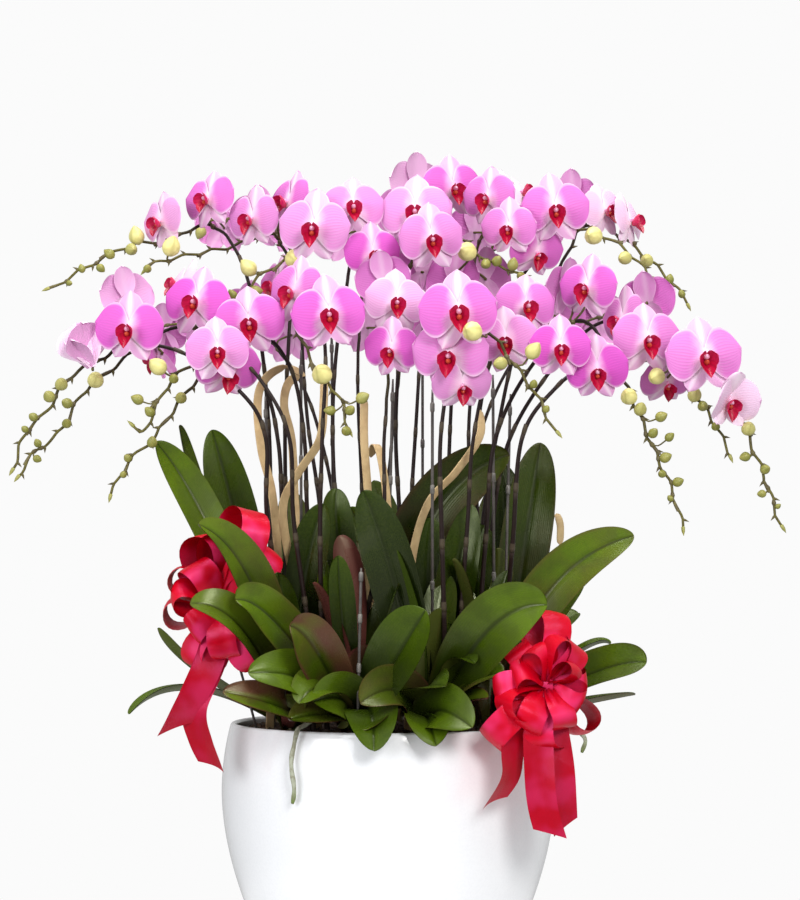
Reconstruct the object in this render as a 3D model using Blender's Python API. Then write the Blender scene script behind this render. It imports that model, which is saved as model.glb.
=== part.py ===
"""Gift planter of moth orchids: a glazed pot filled with bark, eleven plants with strap leaves, twenty-five
flower spikes on support stakes, two red ribbon bows with tails, and curled strips of cane between the stems.

Metres, +Z up. The origin is the centre of the pot's foot, +X is the viewer's right and -Y faces the viewer.
Every place of a plant, spike, stake, strip or bow is given from the middle of the bark's flat top."""

import math

import bmesh
import bpy
from mathutils import Matrix, Vector

# Pot
POT_HEIGHT = 0.357
RIM_RADIUS = 0.2035
BELLY_RADIUS = 0.2155
BELLY_HEIGHT = 0.27
FOOT_RADIUS = 0.12
FOOT_ROUND = 0.008
POT_WALL = 0.008
POT_FLOOR = 0.014
SWELL_POWER = 1.8  # how quickly the side swells from the foot to the belly
POT_SIDES = 30

# Bark filling
BARK_BELOW_RIM = 0.012
BARK_GAP = 0.001  # between the bark and the pot
CUT_OVER = 0.02  # how far the pockets' cutters stand out of the bark

# Gap between pieces that touch
TOUCH_GAP = 0.0003

# Plants
PLUG_RADIUS = 0.013
PLUG_DEPTH = 0.03
PLUG_GAP = 0.001
PLUG_SIDES = 8
CROWN_HEIGHT = 0.03
LEAF_START = 0.6  # where the leaves leave the crown, as a share of its height
LEAF_THICKNESS = 0.004  # at the midrib
LEAF_FOLD = 0.16  # depth of the channel, as a share of the leaf's width
LEAF_STATIONS = 5
ROOT_RADIUS = 0.0028
ROOT_ARCH = 0.01

# Spikes
STEM_FOOT_RADIUS = 0.0034
STEM_TIP_RADIUS = 0.0016
STEM_SIDES = 4
PEDICEL_RADIUS = 0.0017
FLOWER_WIDTH = 0.088
BUD_SLIMNESS = 0.84
HALF_OPEN_WIDTH = 0.032
HALF_OPEN_LENGTH = 0.05
# Outline of the right half of a flower one unit wide: across, up, towards the viewer
FLOWER_OUTLINE = (
    (0.13, 0.27, 0.0),
    (0.40, 0.31, 0.02),
    (0.50, 0.0, 0.03),
    (0.20, -0.18, 0.0),
    (0.27, -0.44, -0.02),
)
SEPAL_TOP = (0.0, 0.50, -0.02)
SEPAL_NOTCH = (0.0, -0.24, -0.03)
LIP_TIP = (0.0, -0.06, 0.16)
FLOWER_BACK = (0.0, 0.0, -0.08)
PEDICEL_PULL = Vector((0, -0.01, -0.02))  # from a flower towards where its stalk leaves the stem

# Stakes
STAKE_RADIUS = 0.0024
STAKE_DEPTH = 0.08
STAKE_GAP = 0.0006
STAKE_SIDES = 6

# Ribbons and strips
RIBBON_WIDTH = 0.04
RIBBON_THICKNESS = 0.0015
LOOP_MIDDLE = 0.55  # the middle of a loop, as a share of its reach from the knot
TAIL_ACROSS = Vector((1, 0.1, 0))
STRIP_ACROSS = Vector((0.75, 0.65, 0))
RIM_CLEARANCE = 0.004  # kept by whatever hangs over the rim
PICK_RADIUS = 0.0018
STRIP_WIDTH = 0.013
STRIP_THICKNESS = 0.0018

# The rim radius that the places in the tables below are given for
TABLE_RIM_RADIUS = 0.2035

BARK_TOP = POT_HEIGHT - BARK_BELOW_RIM
UP = Vector((0, 0, 1))
FRONT = Vector((0, -1, 0))

# Each plant: its place on the bark, and its leaves as (middle, tip, width, face). Face 0 looks up, 1 looks to
# the front and -1 to the back.
PLANTS = {
    1: (
        (-0.120, -0.105),
        [
            ((-0.220, -0.055, 0.245), (-0.295, -0.070, 0.370), 0.044, 0.7),
            ((-0.155, -0.168, 0.178), (-0.225, -0.225, 0.265), 0.052, 0.6),
            ((-0.165, -0.200, 0.135), (-0.235, -0.230, 0.175), 0.040, 0.5),
            ((-0.125, -0.190, 0.075), (-0.165, -0.235, 0.085), 0.034, 0.4),
            ((-0.150, -0.190, 0.050), (-0.195, -0.235, 0.075), 0.034, 0.5),
            ((-0.105, -0.105, 0.185), (-0.080, -0.115, 0.290), 0.044, 0.9),
            ((-0.128, -0.130, 0.120), (-0.135, -0.150, 0.205), 0.042, 0.9),
        ],
    ),
    2: (
        (-0.042, -0.135),
        [
            ((-0.105, -0.195, 0.135), (-0.180, -0.240, 0.180), 0.046, 0.5),
            ((-0.075, -0.210, 0.100), (-0.115, -0.250, 0.145), 0.046, 0.6),
            ((-0.055, -0.172, 0.145), (-0.060, -0.192, 0.225), 0.030, 0.5),
            ((-0.045, -0.145, 0.170), (-0.060, -0.145, 0.250), 0.034, -0.9),
            ((0.012, -0.205, 0.105), (0.045, -0.240, 0.160), 0.062, 0.7),
            ((-0.075, -0.205, 0.065), (-0.105, -0.240, 0.050), 0.050, 0.5),
            ((0.000, -0.190, 0.043), (-0.002, -0.240, -0.005), 0.044, 0.4),
        ],
    ),
    3: (
        (0.050, -0.135),
        [
            ((0.010, -0.150, 0.185), (-0.030, -0.160, 0.305), 0.056, 0.95),
            ((0.037, -0.188, 0.060), (0.019, -0.230, 0.046), 0.036, 0.4),
            ((0.080, -0.170, 0.090), (0.105, -0.200, 0.095), 0.030, 0.3),
            ((0.065, -0.200, 0.040), (0.100, -0.245, 0.030), 0.044, 0.4),
            ((0.050, -0.190, 0.030), (0.055, -0.240, 0.000), 0.044, 0.4),
            ((0.120, -0.200, 0.125), (0.190, -0.240, 0.170), 0.076, 0.9),
            ((0.085, -0.185, 0.045), (0.120, -0.215, 0.055), 0.034, 0.4),
        ],
    ),
    4: (
        (0.122, -0.095),
        [
            ((0.125, -0.150, 0.080), (0.120, -0.170, 0.095), 0.030, 0.5),
            ((0.195, -0.120, 0.175), (0.305, -0.130, 0.250), 0.060, 0.8),
        ],
    ),
    5: (
        (-0.140, 0.015),
        [
            ((-0.230, 0.000, 0.245), (-0.270, -0.020, 0.395), 0.036, 0.3),
            ((-0.250, -0.050, 0.085), (-0.290, -0.070, 0.135), 0.028, 0.0),
            ((-0.255, -0.020, 0.055), (-0.330, -0.050, 0.025), 0.028, 0.0),
            ((-0.190, 0.010, 0.235), (-0.230, 0.000, 0.390), 0.056, 0.9),
            ((-0.210, 0.060, 0.120), (-0.280, 0.100, 0.150), 0.055, 0.0),
        ],
    ),
    6: (
        (-0.030, -0.035),
        [
            ((-0.055, -0.105, 0.160), (-0.055, -0.115, 0.230), 0.030, 0.9),
            ((-0.060, -0.080, 0.210), (-0.065, -0.085, 0.310), 0.040, 0.6),
            ((0.040, -0.035, 0.250), (0.155, -0.050, 0.355), 0.072, 0.9),
            ((-0.020, 0.000, 0.170), (-0.050, 0.010, 0.290), 0.050, 0.9),
        ],
    ),
    7: (
        (0.055, -0.030),
        [
            ((0.080, -0.085, 0.165), (0.105, -0.095, 0.290), 0.046, 0.9),
            ((0.095, -0.045, 0.175), (0.122, -0.050, 0.265), 0.056, 0.9),
            ((0.050, -0.060, 0.155), (0.055, -0.065, 0.275), 0.050, 0.9),
        ],
    ),
    8: (
        (0.140, 0.020),
        [
            ((0.190, -0.030, 0.135), (0.250, -0.040, 0.195), 0.050, 0.7),
            ((0.175, 0.020, 0.220), (0.200, 0.030, 0.375), 0.060, 0.95),
            ((0.158, 0.060, 0.210), (0.150, 0.078, 0.350), 0.050, 0.9),
            ((0.260, -0.020, 0.075), (0.330, -0.040, 0.090), 0.050, 0.6),
            ((0.265, 0.040, 0.035), (0.325, 0.050, 0.045), 0.026, 0.0),
            ((0.245, 0.060, 0.095), (0.295, 0.070, 0.110), 0.026, 0.0),
            ((0.210, 0.080, 0.110), (0.255, 0.110, 0.150), 0.046, 0.2),
        ],
    ),
    9: (
        (-0.085, 0.110),
        [
            ((-0.170, 0.160, 0.150), (-0.240, 0.200, 0.200), 0.055, 0.0),
            ((-0.130, 0.200, 0.140), (-0.170, 0.280, 0.170), 0.055, 0.0),
            ((-0.070, 0.210, 0.100), (-0.060, 0.290, 0.100), 0.055, 0.0),
            ((-0.120, 0.140, 0.200), (-0.140, 0.170, 0.320), 0.050, -0.7),
        ],
    ),
    10: (
        (0.010, 0.085),
        [
            ((0.005, 0.180, 0.130), (0.000, 0.270, 0.160), 0.055, -0.2),
            ((0.030, 0.200, 0.070), (0.050, 0.290, 0.060), 0.050, 0.0),
            ((0.000, 0.110, 0.200), (-0.020, 0.140, 0.330), 0.050, -0.8),
            ((0.035, 0.115, 0.190), (0.060, 0.150, 0.300), 0.046, -0.8),
        ],
    ),
    11: (
        (0.100, 0.110),
        [
            ((0.180, 0.160, 0.150), (0.250, 0.200, 0.190), 0.055, 0.0),
            ((0.140, 0.200, 0.130), (0.180, 0.280, 0.150), 0.055, 0.0),
            ((0.095, 0.220, 0.110), (0.090, 0.300, 0.120), 0.055, 0.0),
            ((0.130, 0.140, 0.200), (0.160, 0.160, 0.340), 0.050, -0.8),
        ],
    ),
}

# Roots that hang over the rim: plant, azimuth in degrees from +X, then (out from the rim, height over it)
ROOTS = (
    (2, 239, ((0.007, 0.002), (0.006, -0.020), (0.008, -0.050), (0.004, -0.085))),
    (8, 350, ((0.007, 0.002), (0.010, -0.020), (0.022, -0.035))),
)

# Each spike: the stem's route from its foot; open flowers as (place, azimuth, elevation, size), where azimuth 0
# faces the viewer and positive turns to the right; half-open flowers the same way; buds as (place, length).
SPIKES = [
    dict(
        route=[(-0.125, -0.010, 0), (-0.135, -0.010, 0.115), (-0.150, -0.020, 0.270), (-0.155, -0.025, 0.390),
               (-0.165, -0.030, 0.505), (-0.190, -0.020, 0.605), (-0.235, 0.020, 0.660), (-0.295, 0.015, 0.640),
               (-0.340, 0.000, 0.630), (-0.385, -0.010, 0.605), (-0.440, -0.015, 0.570)],
        flowers=[((-0.295, -0.020, 0.660), -45, 0, 0.82), ((-0.235, -0.010, 0.690), -35, 10, 0.86)],
        buds=[((-0.330, 0.000, 0.645), 0.017), ((-0.335, -0.010, 0.625), 0.014), ((-0.365, -0.005, 0.620), 0.012),
              ((-0.375, -0.010, 0.600), 0.010), ((-0.400, -0.010, 0.600), 0.009), ((-0.415, -0.015, 0.580), 0.007)],
    ),
    dict(
        route=[(-0.120, 0.030, 0), (-0.130, 0.030, 0.115), (-0.135, 0.020, 0.275), (-0.135, 0.010, 0.395),
               (-0.130, 0.000, 0.505), (-0.130, 0.020, 0.600), (-0.155, 0.035, 0.650), (-0.205, 0.035, 0.635),
               (-0.250, 0.000, 0.620), (-0.295, -0.030, 0.605), (-0.315, -0.035, 0.595)],
        flowers=[((-0.175, -0.040, 0.660), -35, 0, 0.86), ((-0.130, -0.020, 0.685), -50, 10, 0.88)],
        buds=[((-0.280, -0.040, 0.625), 0.019), ((-0.310, -0.045, 0.595), 0.010)],
    ),
    dict(
        route=[(-0.045, -0.010, 0), (-0.045, -0.040, 0.120), (-0.065, -0.060, 0.270), (-0.070, -0.065, 0.390),
               (-0.065, -0.065, 0.500), (-0.050, -0.050, 0.605), (-0.060, -0.040, 0.650), (-0.090, -0.040, 0.635),
               (-0.125, -0.045, 0.610), (-0.170, -0.050, 0.580), (-0.205, -0.055, 0.535)],
        flowers=[((-0.095, -0.085, 0.640), -8, 0, 1.0), ((-0.045, -0.060, 0.670), 5, 12, 0.9),
                 ((-0.020, -0.070, 0.610), 15, -5, 0.8)],
        buds=[((-0.120, -0.060, 0.605), 0.020), ((-0.180, -0.055, 0.595), 0.017), ((-0.170, -0.050, 0.565), 0.013),
              ((-0.200, -0.055, 0.560), 0.011)],
    ),
    dict(
        route=[(0.030, -0.010, 0), (0.020, -0.020, 0.120), (0.015, -0.030, 0.270), (0.010, -0.035, 0.390),
               (0.015, -0.040, 0.505), (0.030, -0.030, 0.605), (0.050, -0.020, 0.655), (0.090, -0.025, 0.640),
               (0.130, -0.040, 0.605), (0.165, -0.045, 0.590), (0.190, -0.050, 0.565)],
        flowers=[((0.035, -0.055, 0.665), -5, 8, 1.0), ((0.055, -0.095, 0.625), 8, -4, 0.92)],
        buds=[((0.100, -0.060, 0.615), 0.020), ((0.125, -0.050, 0.600), 0.012), ((0.140, -0.045, 0.605), 0.012),
              ((0.160, -0.050, 0.600), 0.013), ((0.170, -0.050, 0.585), 0.010)],
    ),
    dict(
        route=[(0.040, 0.015, 0), (0.030, 0.020, 0.115), (0.030, 0.030, 0.275), (0.035, 0.040, 0.395),
               (0.045, 0.050, 0.515), (0.060, 0.060, 0.620), (0.070, 0.060, 0.695), (0.075, 0.070, 0.725)],
        flowers=[((0.085, 0.020, 0.710), 20, 0, 0.9), ((0.035, 0.050, 0.720), -150, 0, 0.85)],
        buds=[],
    ),
    dict(
        route=[(0.075, 0.000, 0), (0.065, -0.010, 0.115), (0.075, 0.000, 0.270), (0.080, 0.000, 0.395),
               (0.090, 0.000, 0.505), (0.110, 0.010, 0.610), (0.135, 0.020, 0.675), (0.165, 0.040, 0.690),
               (0.175, 0.050, 0.700)],
        flowers=[((0.130, -0.020, 0.690), -30, 0, 0.86), ((0.155, -0.050, 0.645), -15, -5, 0.78),
                 ((0.175, 0.055, 0.710), 60, 30, 0.8)],
        buds=[],
    ),
    dict(
        route=[(0.120, 0.000, 0), (0.125, 0.000, 0.115), (0.115, -0.010, 0.270), (0.115, -0.020, 0.390),
               (0.140, -0.020, 0.505), (0.175, -0.010, 0.590), (0.210, 0.000, 0.650), (0.250, -0.010, 0.650),
               (0.290, -0.020, 0.635), (0.325, -0.030, 0.605), (0.340, -0.035, 0.580)],
        flowers=[((0.215, -0.045, 0.670), 2, 0, 0.96), ((0.200, -0.030, 0.620), 110, -10, 0.8)],
        buds=[((0.265, -0.030, 0.640), 0.019), ((0.305, -0.035, 0.610), 0.015), ((0.340, -0.040, 0.580), 0.011)],
    ),
    dict(
        route=[(0.112, 0.045, 0), (0.118, 0.048, 0.115), (0.125, 0.048, 0.275), (0.145, 0.050, 0.395),
               (0.175, 0.050, 0.515), (0.225, 0.050, 0.605), (0.260, 0.050, 0.665), (0.300, 0.045, 0.655),
               (0.330, 0.030, 0.630), (0.365, 0.020, 0.595), (0.395, 0.010, 0.555)],
        flowers=[((0.285, 0.020, 0.680), 45, 10, 0.8), ((0.320, 0.030, 0.670), 85, 0, 0.82),
                 ((0.245, 0.060, 0.700), 150, 0, 0.85)],
        buds=[((0.340, 0.020, 0.615), 0.015), ((0.370, 0.020, 0.590), 0.011), ((0.385, 0.015, 0.570), 0.009)],
    ),
    dict(
        route=[(-0.120, -0.070, 0), (-0.128, -0.075, 0.120), (-0.150, -0.130, 0.270), (-0.150, -0.150, 0.370),
               (-0.180, -0.160, 0.425), (-0.255, -0.155, 0.475), (-0.320, -0.150, 0.485), (-0.350, -0.150, 0.470),
               (-0.390, -0.155, 0.445), (-0.420, -0.160, 0.400), (-0.445, -0.160, 0.375), (-0.460, -0.165, 0.330)],
        flowers=[((-0.315, -0.190, 0.500), -10, 0, 0.92), ((-0.325, -0.140, 0.545), -150, -10, 0.8)],
        half_open=[((-0.370, -0.165, 0.480), -35, 55, 0.95)],
        buds=[((-0.400, -0.170, 0.435), 0.014), ((-0.415, -0.170, 0.420), 0.013), ((-0.435, -0.165, 0.395), 0.010),
              ((-0.445, -0.165, 0.380), 0.008)],
    ),
    dict(
        route=[(-0.125, -0.022, 0), (-0.125, -0.030, 0.120), (-0.135, -0.045, 0.270), (-0.140, -0.050, 0.370),
               (-0.160, -0.055, 0.445), (-0.210, -0.085, 0.500), (-0.265, -0.090, 0.515), (-0.310, -0.100, 0.490),
               (-0.345, -0.110, 0.460), (-0.380, -0.115, 0.430), (-0.410, -0.120, 0.380), (-0.440, -0.125, 0.355),
               (-0.460, -0.130, 0.325)],
        flowers=[((-0.240, -0.125, 0.540), -15, 10, 0.94), ((-0.290, -0.088, 0.480), -110, -10, 0.86),
                 ((-0.265, -0.068, 0.570), -60, 20, 0.8)],
        buds=[((-0.365, -0.120, 0.445), 0.017), ((-0.400, -0.125, 0.415), 0.012), ((-0.400, -0.125, 0.390), 0.011),
              ((-0.435, -0.130, 0.365), 0.009), ((-0.435, -0.130, 0.345), 0.009)],
    ),
    dict(
        route=[(-0.092, -0.125, 0), (-0.097, -0.135, 0.120), (-0.115, -0.155, 0.270), (-0.120, -0.175, 0.365),
               (-0.145, -0.180, 0.425), (-0.185, -0.175, 0.470), (-0.230, -0.170, 0.465), (-0.265, -0.175, 0.440),
               (-0.285, -0.180, 0.405), (-0.300, -0.180, 0.375), (-0.310, -0.180, 0.385)],
        flowers=[((-0.205, -0.215, 0.470), 5, 0, 0.84), ((-0.195, -0.185, 0.450), 20, -25, 0.9)],
        buds=[((-0.280, -0.190, 0.455), 0.017), ((-0.260, -0.190, 0.440), 0.011), ((-0.305, -0.185, 0.415), 0.012),
              ((-0.290, -0.185, 0.400), 0.011)],
    ),
    dict(
        route=[(-0.060, -0.040, 0), (-0.085, -0.070, 0.120), (-0.100, -0.100, 0.270), (-0.105, -0.115, 0.370),
               (-0.120, -0.120, 0.455), (-0.155, -0.130, 0.500), (-0.200, -0.135, 0.475), (-0.240, -0.140, 0.440),
               (-0.270, -0.145, 0.400), (-0.290, -0.150, 0.370), (-0.320, -0.150, 0.340), (-0.340, -0.155, 0.300)],
        flowers=[((-0.170, -0.165, 0.510), 0, 0, 0.94)],
        buds=[((-0.255, -0.150, 0.420), 0.013), ((-0.290, -0.155, 0.365), 0.012), ((-0.320, -0.155, 0.345), 0.009),
              ((-0.325, -0.155, 0.325), 0.008)],
    ),
    dict(
        route=[(-0.075, -0.110, 0), (-0.080, -0.140, 0.120), (-0.083, -0.165, 0.270), (-0.080, -0.180, 0.365),
               (-0.075, -0.180, 0.450), (-0.080, -0.165, 0.500), (-0.095, -0.155, 0.525), (-0.112, -0.160, 0.505),
               (-0.095, -0.175, 0.465), (-0.072, -0.190, 0.435), (-0.055, -0.200, 0.410), (-0.045, -0.205, 0.375)],
        flowers=[((-0.070, -0.210, 0.515), 0, 3, 0.98), ((-0.115, -0.155, 0.550), -35, 5, 0.9)],
        buds=[((-0.080, -0.200, 0.445), 0.020), ((-0.030, -0.210, 0.415), 0.013), ((-0.045, -0.210, 0.400), 0.011),
              ((-0.070, -0.200, 0.400), 0.011), ((-0.050, -0.210, 0.375), 0.011)],
    ),
    dict(
        route=[(-0.030, -0.110, 0), (-0.030, -0.120, 0.120), (-0.005, -0.130, 0.270), (-0.005, -0.130, 0.370),
               (0.000, -0.135, 0.455), (0.000, -0.135, 0.505), (0.005, -0.135, 0.545)],
        flowers=[((0.010, -0.165, 0.535), 10, 5, 0.85), ((0.005, -0.185, 0.475), -20, -8, 0.78),
                 ((-0.005, -0.110, 0.570), 170, 0, 0.8)],
        buds=[],
    ),
    dict(
        route=[(0.075, -0.115, 0), (0.070, -0.150, 0.120), (0.065, -0.180, 0.270), (0.065, -0.190, 0.365),
               (0.075, -0.195, 0.450), (0.085, -0.185, 0.510), (0.105, -0.185, 0.515), (0.135, -0.210, 0.480),
               (0.160, -0.220, 0.445), (0.180, -0.225, 0.415), (0.200, -0.230, 0.370)],
        flowers=[((0.085, -0.220, 0.515), 0, 3, 1.05), ((0.075, -0.235, 0.470), -12, -5, 1.0),
                 ((0.090, -0.215, 0.430), 10, -25, 0.8)],
        buds=[((0.100, -0.260, 0.490), 0.019), ((0.135, -0.225, 0.455), 0.014), ((0.175, -0.230, 0.470), 0.016),
              ((0.175, -0.230, 0.430), 0.009), ((0.190, -0.230, 0.400), 0.008)],
    ),
    dict(
        route=[(0.105, -0.075, 0), (0.090, -0.100, 0.120), (0.100, -0.120, 0.270), (0.105, -0.130, 0.370),
               (0.125, -0.140, 0.455), (0.155, -0.145, 0.510), (0.195, -0.150, 0.515), (0.210, -0.160, 0.485)],
        flowers=[((0.170, -0.170, 0.530), 15, 5, 0.86), ((0.145, -0.190, 0.485), -12, 0, 0.84),
                 ((0.210, -0.200, 0.475), 0, 0, 0.82)],
        buds=[],
    ),
    dict(
        route=[(0.120, -0.065, 0), (0.115, -0.070, 0.120), (0.125, -0.080, 0.270), (0.135, -0.090, 0.370),
               (0.170, -0.100, 0.450), (0.225, -0.100, 0.515), (0.255, -0.110, 0.515), (0.280, -0.140, 0.465),
               (0.300, -0.155, 0.425), (0.315, -0.160, 0.385), (0.330, -0.165, 0.345), (0.345, -0.165, 0.310),
               (0.360, -0.170, 0.260)],
        flowers=[((0.250, -0.115, 0.560), -30, 0, 0.86), ((0.255, -0.185, 0.450), 0, -12, 0.86),
                 ((0.225, -0.070, 0.565), -140, 10, 0.8)],
        buds=[((0.295, -0.170, 0.420), 0.017), ((0.310, -0.165, 0.405), 0.014), ((0.335, -0.170, 0.395), 0.012),
              ((0.345, -0.170, 0.370), 0.010), ((0.325, -0.170, 0.375), 0.011), ((0.340, -0.170, 0.345), 0.012),
              ((0.335, -0.170, 0.325), 0.009), ((0.355, -0.170, 0.315), 0.011), ((0.345, -0.170, 0.295), 0.007)],
    ),
    dict(
        route=[(0.145, -0.010, 0), (0.125, -0.020, 0.120), (0.135, -0.030, 0.270), (0.155, -0.045, 0.375),
               (0.205, -0.060, 0.460), (0.265, -0.070, 0.520), (0.320, -0.090, 0.520), (0.345, -0.120, 0.480),
               (0.370, -0.130, 0.435), (0.395, -0.135, 0.405), (0.425, -0.140, 0.350)],
        flowers=[((0.320, -0.155, 0.490), 10, 0, 0.94), ((0.295, -0.115, 0.520), -55, 0, 0.85),
                 ((0.350, -0.103, 0.443), 15, -30, 0.75), ((0.330, -0.080, 0.545), 150, 0, 0.85)],
        buds=[((0.330, -0.160, 0.445), 0.017), ((0.380, -0.140, 0.425), 0.015), ((0.390, -0.140, 0.410), 0.012),
              ((0.405, -0.145, 0.385), 0.010)],
    ),
    dict(
        route=[(0.145, -0.065, 0), (0.150, -0.082, 0.150), (0.156, -0.125, 0.250), (0.165, -0.150, 0.370),
               (0.205, -0.155, 0.430), (0.250, -0.130, 0.460), (0.320, -0.125, 0.468), (0.375, -0.150, 0.470),
               (0.420, -0.165, 0.430), (0.435, -0.170, 0.385), (0.445, -0.175, 0.355), (0.460, -0.175, 0.320),
               (0.480, -0.180, 0.260)],
        flowers=[((0.385, -0.195, 0.465), 5, 3, 1.02)],
        half_open=[((0.430, -0.185, 0.420), 50, -30, 0.9)],
        buds=[((0.440, -0.180, 0.380), 0.015), ((0.435, -0.180, 0.345), 0.011), ((0.460, -0.180, 0.330), 0.011),
              ((0.455, -0.180, 0.300), 0.009), ((0.475, -0.180, 0.285), 0.006)],
    ),
    dict(
        route=[(-0.080, 0.082, 0), (-0.090, 0.110, 0.250), (-0.110, 0.140, 0.400), (-0.120, 0.160, 0.520),
               (-0.130, 0.170, 0.620), (-0.160, 0.180, 0.680), (-0.210, 0.190, 0.700), (-0.260, 0.195, 0.690)],
        flowers=[((-0.130, 0.205, 0.690), 175, 0, 0.95), ((-0.185, 0.220, 0.700), 185, 0, 0.95),
                 ((-0.235, 0.225, 0.690), 195, 0, 0.9)],
        buds=[((-0.265, 0.200, 0.680), 0.014)],
    ),
    dict(
        route=[(0.105, 0.080, 0), (0.110, 0.118, 0.250), (0.110, 0.145, 0.400), (0.120, 0.160, 0.520),
               (0.130, 0.170, 0.620), (0.160, 0.180, 0.680), (0.210, 0.190, 0.700), (0.250, 0.195, 0.690)],
        flowers=[((0.120, 0.205, 0.680), 182, 0, 0.95), ((0.170, 0.220, 0.710), 178, 0, 0.95),
                 ((0.225, 0.225, 0.700), 168, 0, 0.9)],
        buds=[((0.255, 0.200, 0.680), 0.014)],
    ),
    dict(
        route=[(-0.055, 0.085, 0), (-0.045, 0.130, 0.120), (-0.060, 0.175, 0.200), (-0.085, 0.200, 0.350),
               (-0.120, 0.210, 0.460), (-0.170, 0.220, 0.530), (-0.230, 0.230, 0.560), (-0.290, 0.230, 0.560), (-0.340, 0.220, 0.540)],
        flowers=[((-0.140, 0.250, 0.540), 178, 0, 0.95), ((-0.200, 0.265, 0.570), 182, 0, 1.0),
                 ((-0.265, 0.265, 0.565), 188, 0, 0.95), ((-0.325, 0.255, 0.545), 205, 0, 0.85)],
        buds=[((-0.350, 0.225, 0.530), 0.014)],
    ),
    dict(
        route=[(0.075, 0.090, 0), (0.070, 0.120, 0.120), (0.100, 0.175, 0.200), (0.115, 0.195, 0.350),
               (0.150, 0.210, 0.460), (0.200, 0.220, 0.530), (0.270, 0.230, 0.560), (0.330, 0.230, 0.560), (0.390, 0.220, 0.530)],
        flowers=[((0.170, 0.250, 0.540), 180, 0, 0.95), ((0.235, 0.265, 0.570), 178, 0, 1.0),
                 ((0.300, 0.265, 0.565), 172, 0, 0.95), ((0.365, 0.255, 0.550), 155, 0, 0.85)],
        buds=[((0.400, 0.225, 0.520), 0.014)],
    ),
    dict(
        route=[(-0.018, 0.100, 0), (-0.025, 0.130, 0.120), (-0.020, 0.165, 0.250), (0.000, 0.180, 0.350),
               (0.010, 0.200, 0.450), (0.020, 0.210, 0.530), (0.030, 0.210, 0.580)],
        flowers=[((-0.030, 0.245, 0.550), 185, 0, 0.95), ((0.060, 0.245, 0.560), 175, 0, 0.95),
                 ((0.020, 0.240, 0.630), 180, 5, 0.9)],
        buds=[],
    ),
    dict(
        route=[(-0.010, 0.060, 0), (-0.030, 0.090, 0.200), (-0.040, 0.100, 0.400), (-0.040, 0.110, 0.550),
               (-0.030, 0.120, 0.660), (-0.020, 0.125, 0.690)],
        flowers=[((-0.060, 0.155, 0.670), 190, 0, 0.95), ((0.025, 0.155, 0.700), 172, 0, 0.95)],
        buds=[],
    ),
]

# Each stake: its place on the bark and the place of its top
STAKES = (
    ((-0.037, -0.187), (-0.032, -0.190, 0.210)),
    ((-0.145, -0.037), (-0.158, -0.043, 0.430)),
    ((-0.110, -0.060), (-0.110, -0.090, 0.485)),
    ((-0.005, -0.062), (0.006, -0.070, 0.450)),
    ((0.055, -0.110), (0.055, -0.150, 0.430)),
    ((0.135, -0.050), (0.133, -0.075, 0.455)),
    ((0.145, -0.035), (0.158, -0.020, 0.435)),
    ((0.045, 0.050), (0.045, 0.060, 0.525)),
    ((-0.070, 0.020), (-0.075, 0.020, 0.525)),
)

# Curled strips of cane, each from its foot on the bark
STRIPS = (
    [(-0.150, -0.060, 0), (-0.145, -0.060, 0.120), (-0.140, -0.065, 0.220), (-0.147, -0.075, 0.305),
     (-0.160, -0.085, 0.360), (-0.165, -0.085, 0.420), (-0.155, -0.080, 0.450), (-0.130, -0.070, 0.465),
     (-0.105, -0.060, 0.455)],
    [(-0.105, -0.030, 0), (-0.110, -0.030, 0.120), (-0.115, -0.030, 0.220), (-0.120, -0.030, 0.295),
     (-0.125, -0.020, 0.375), (-0.135, -0.020, 0.420), (-0.130, -0.010, 0.450), (-0.115, 0.000, 0.460)],
    [(-0.088, -0.055, 0), (-0.100, -0.072, 0.120), (-0.125, -0.100, 0.230), (-0.130, -0.120, 0.290),
     (-0.110, -0.125, 0.330), (-0.085, -0.120, 0.370), (-0.080, -0.120, 0.420), (-0.080, -0.120, 0.445)],
    [(-0.020, -0.095, 0), (-0.020, -0.095, 0.120), (-0.025, -0.095, 0.220), (-0.025, -0.095, 0.295),
     (-0.030, -0.095, 0.370), (-0.030, -0.095, 0.425)],
    [(0.000, -0.090, 0), (0.000, -0.090, 0.170), (0.000, -0.090, 0.270), (-0.005, -0.090, 0.325),
     (-0.012, -0.082, 0.360), (-0.018, -0.072, 0.365), (-0.022, -0.062, 0.350)],
    [(0.025, -0.100, 0), (0.025, -0.100, 0.120), (0.030, -0.110, 0.220), (0.050, -0.110, 0.290),
     (0.085, -0.110, 0.330), (0.115, -0.105, 0.375), (0.115, -0.100, 0.410)],
    [(0.150, 0.095, 0), (0.168, 0.100, 0.100), (0.200, 0.078, 0.200), (0.213, 0.065, 0.270),
     (0.222, 0.062, 0.280), (0.228, 0.065, 0.268), (0.228, 0.070, 0.240)],
)

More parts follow.
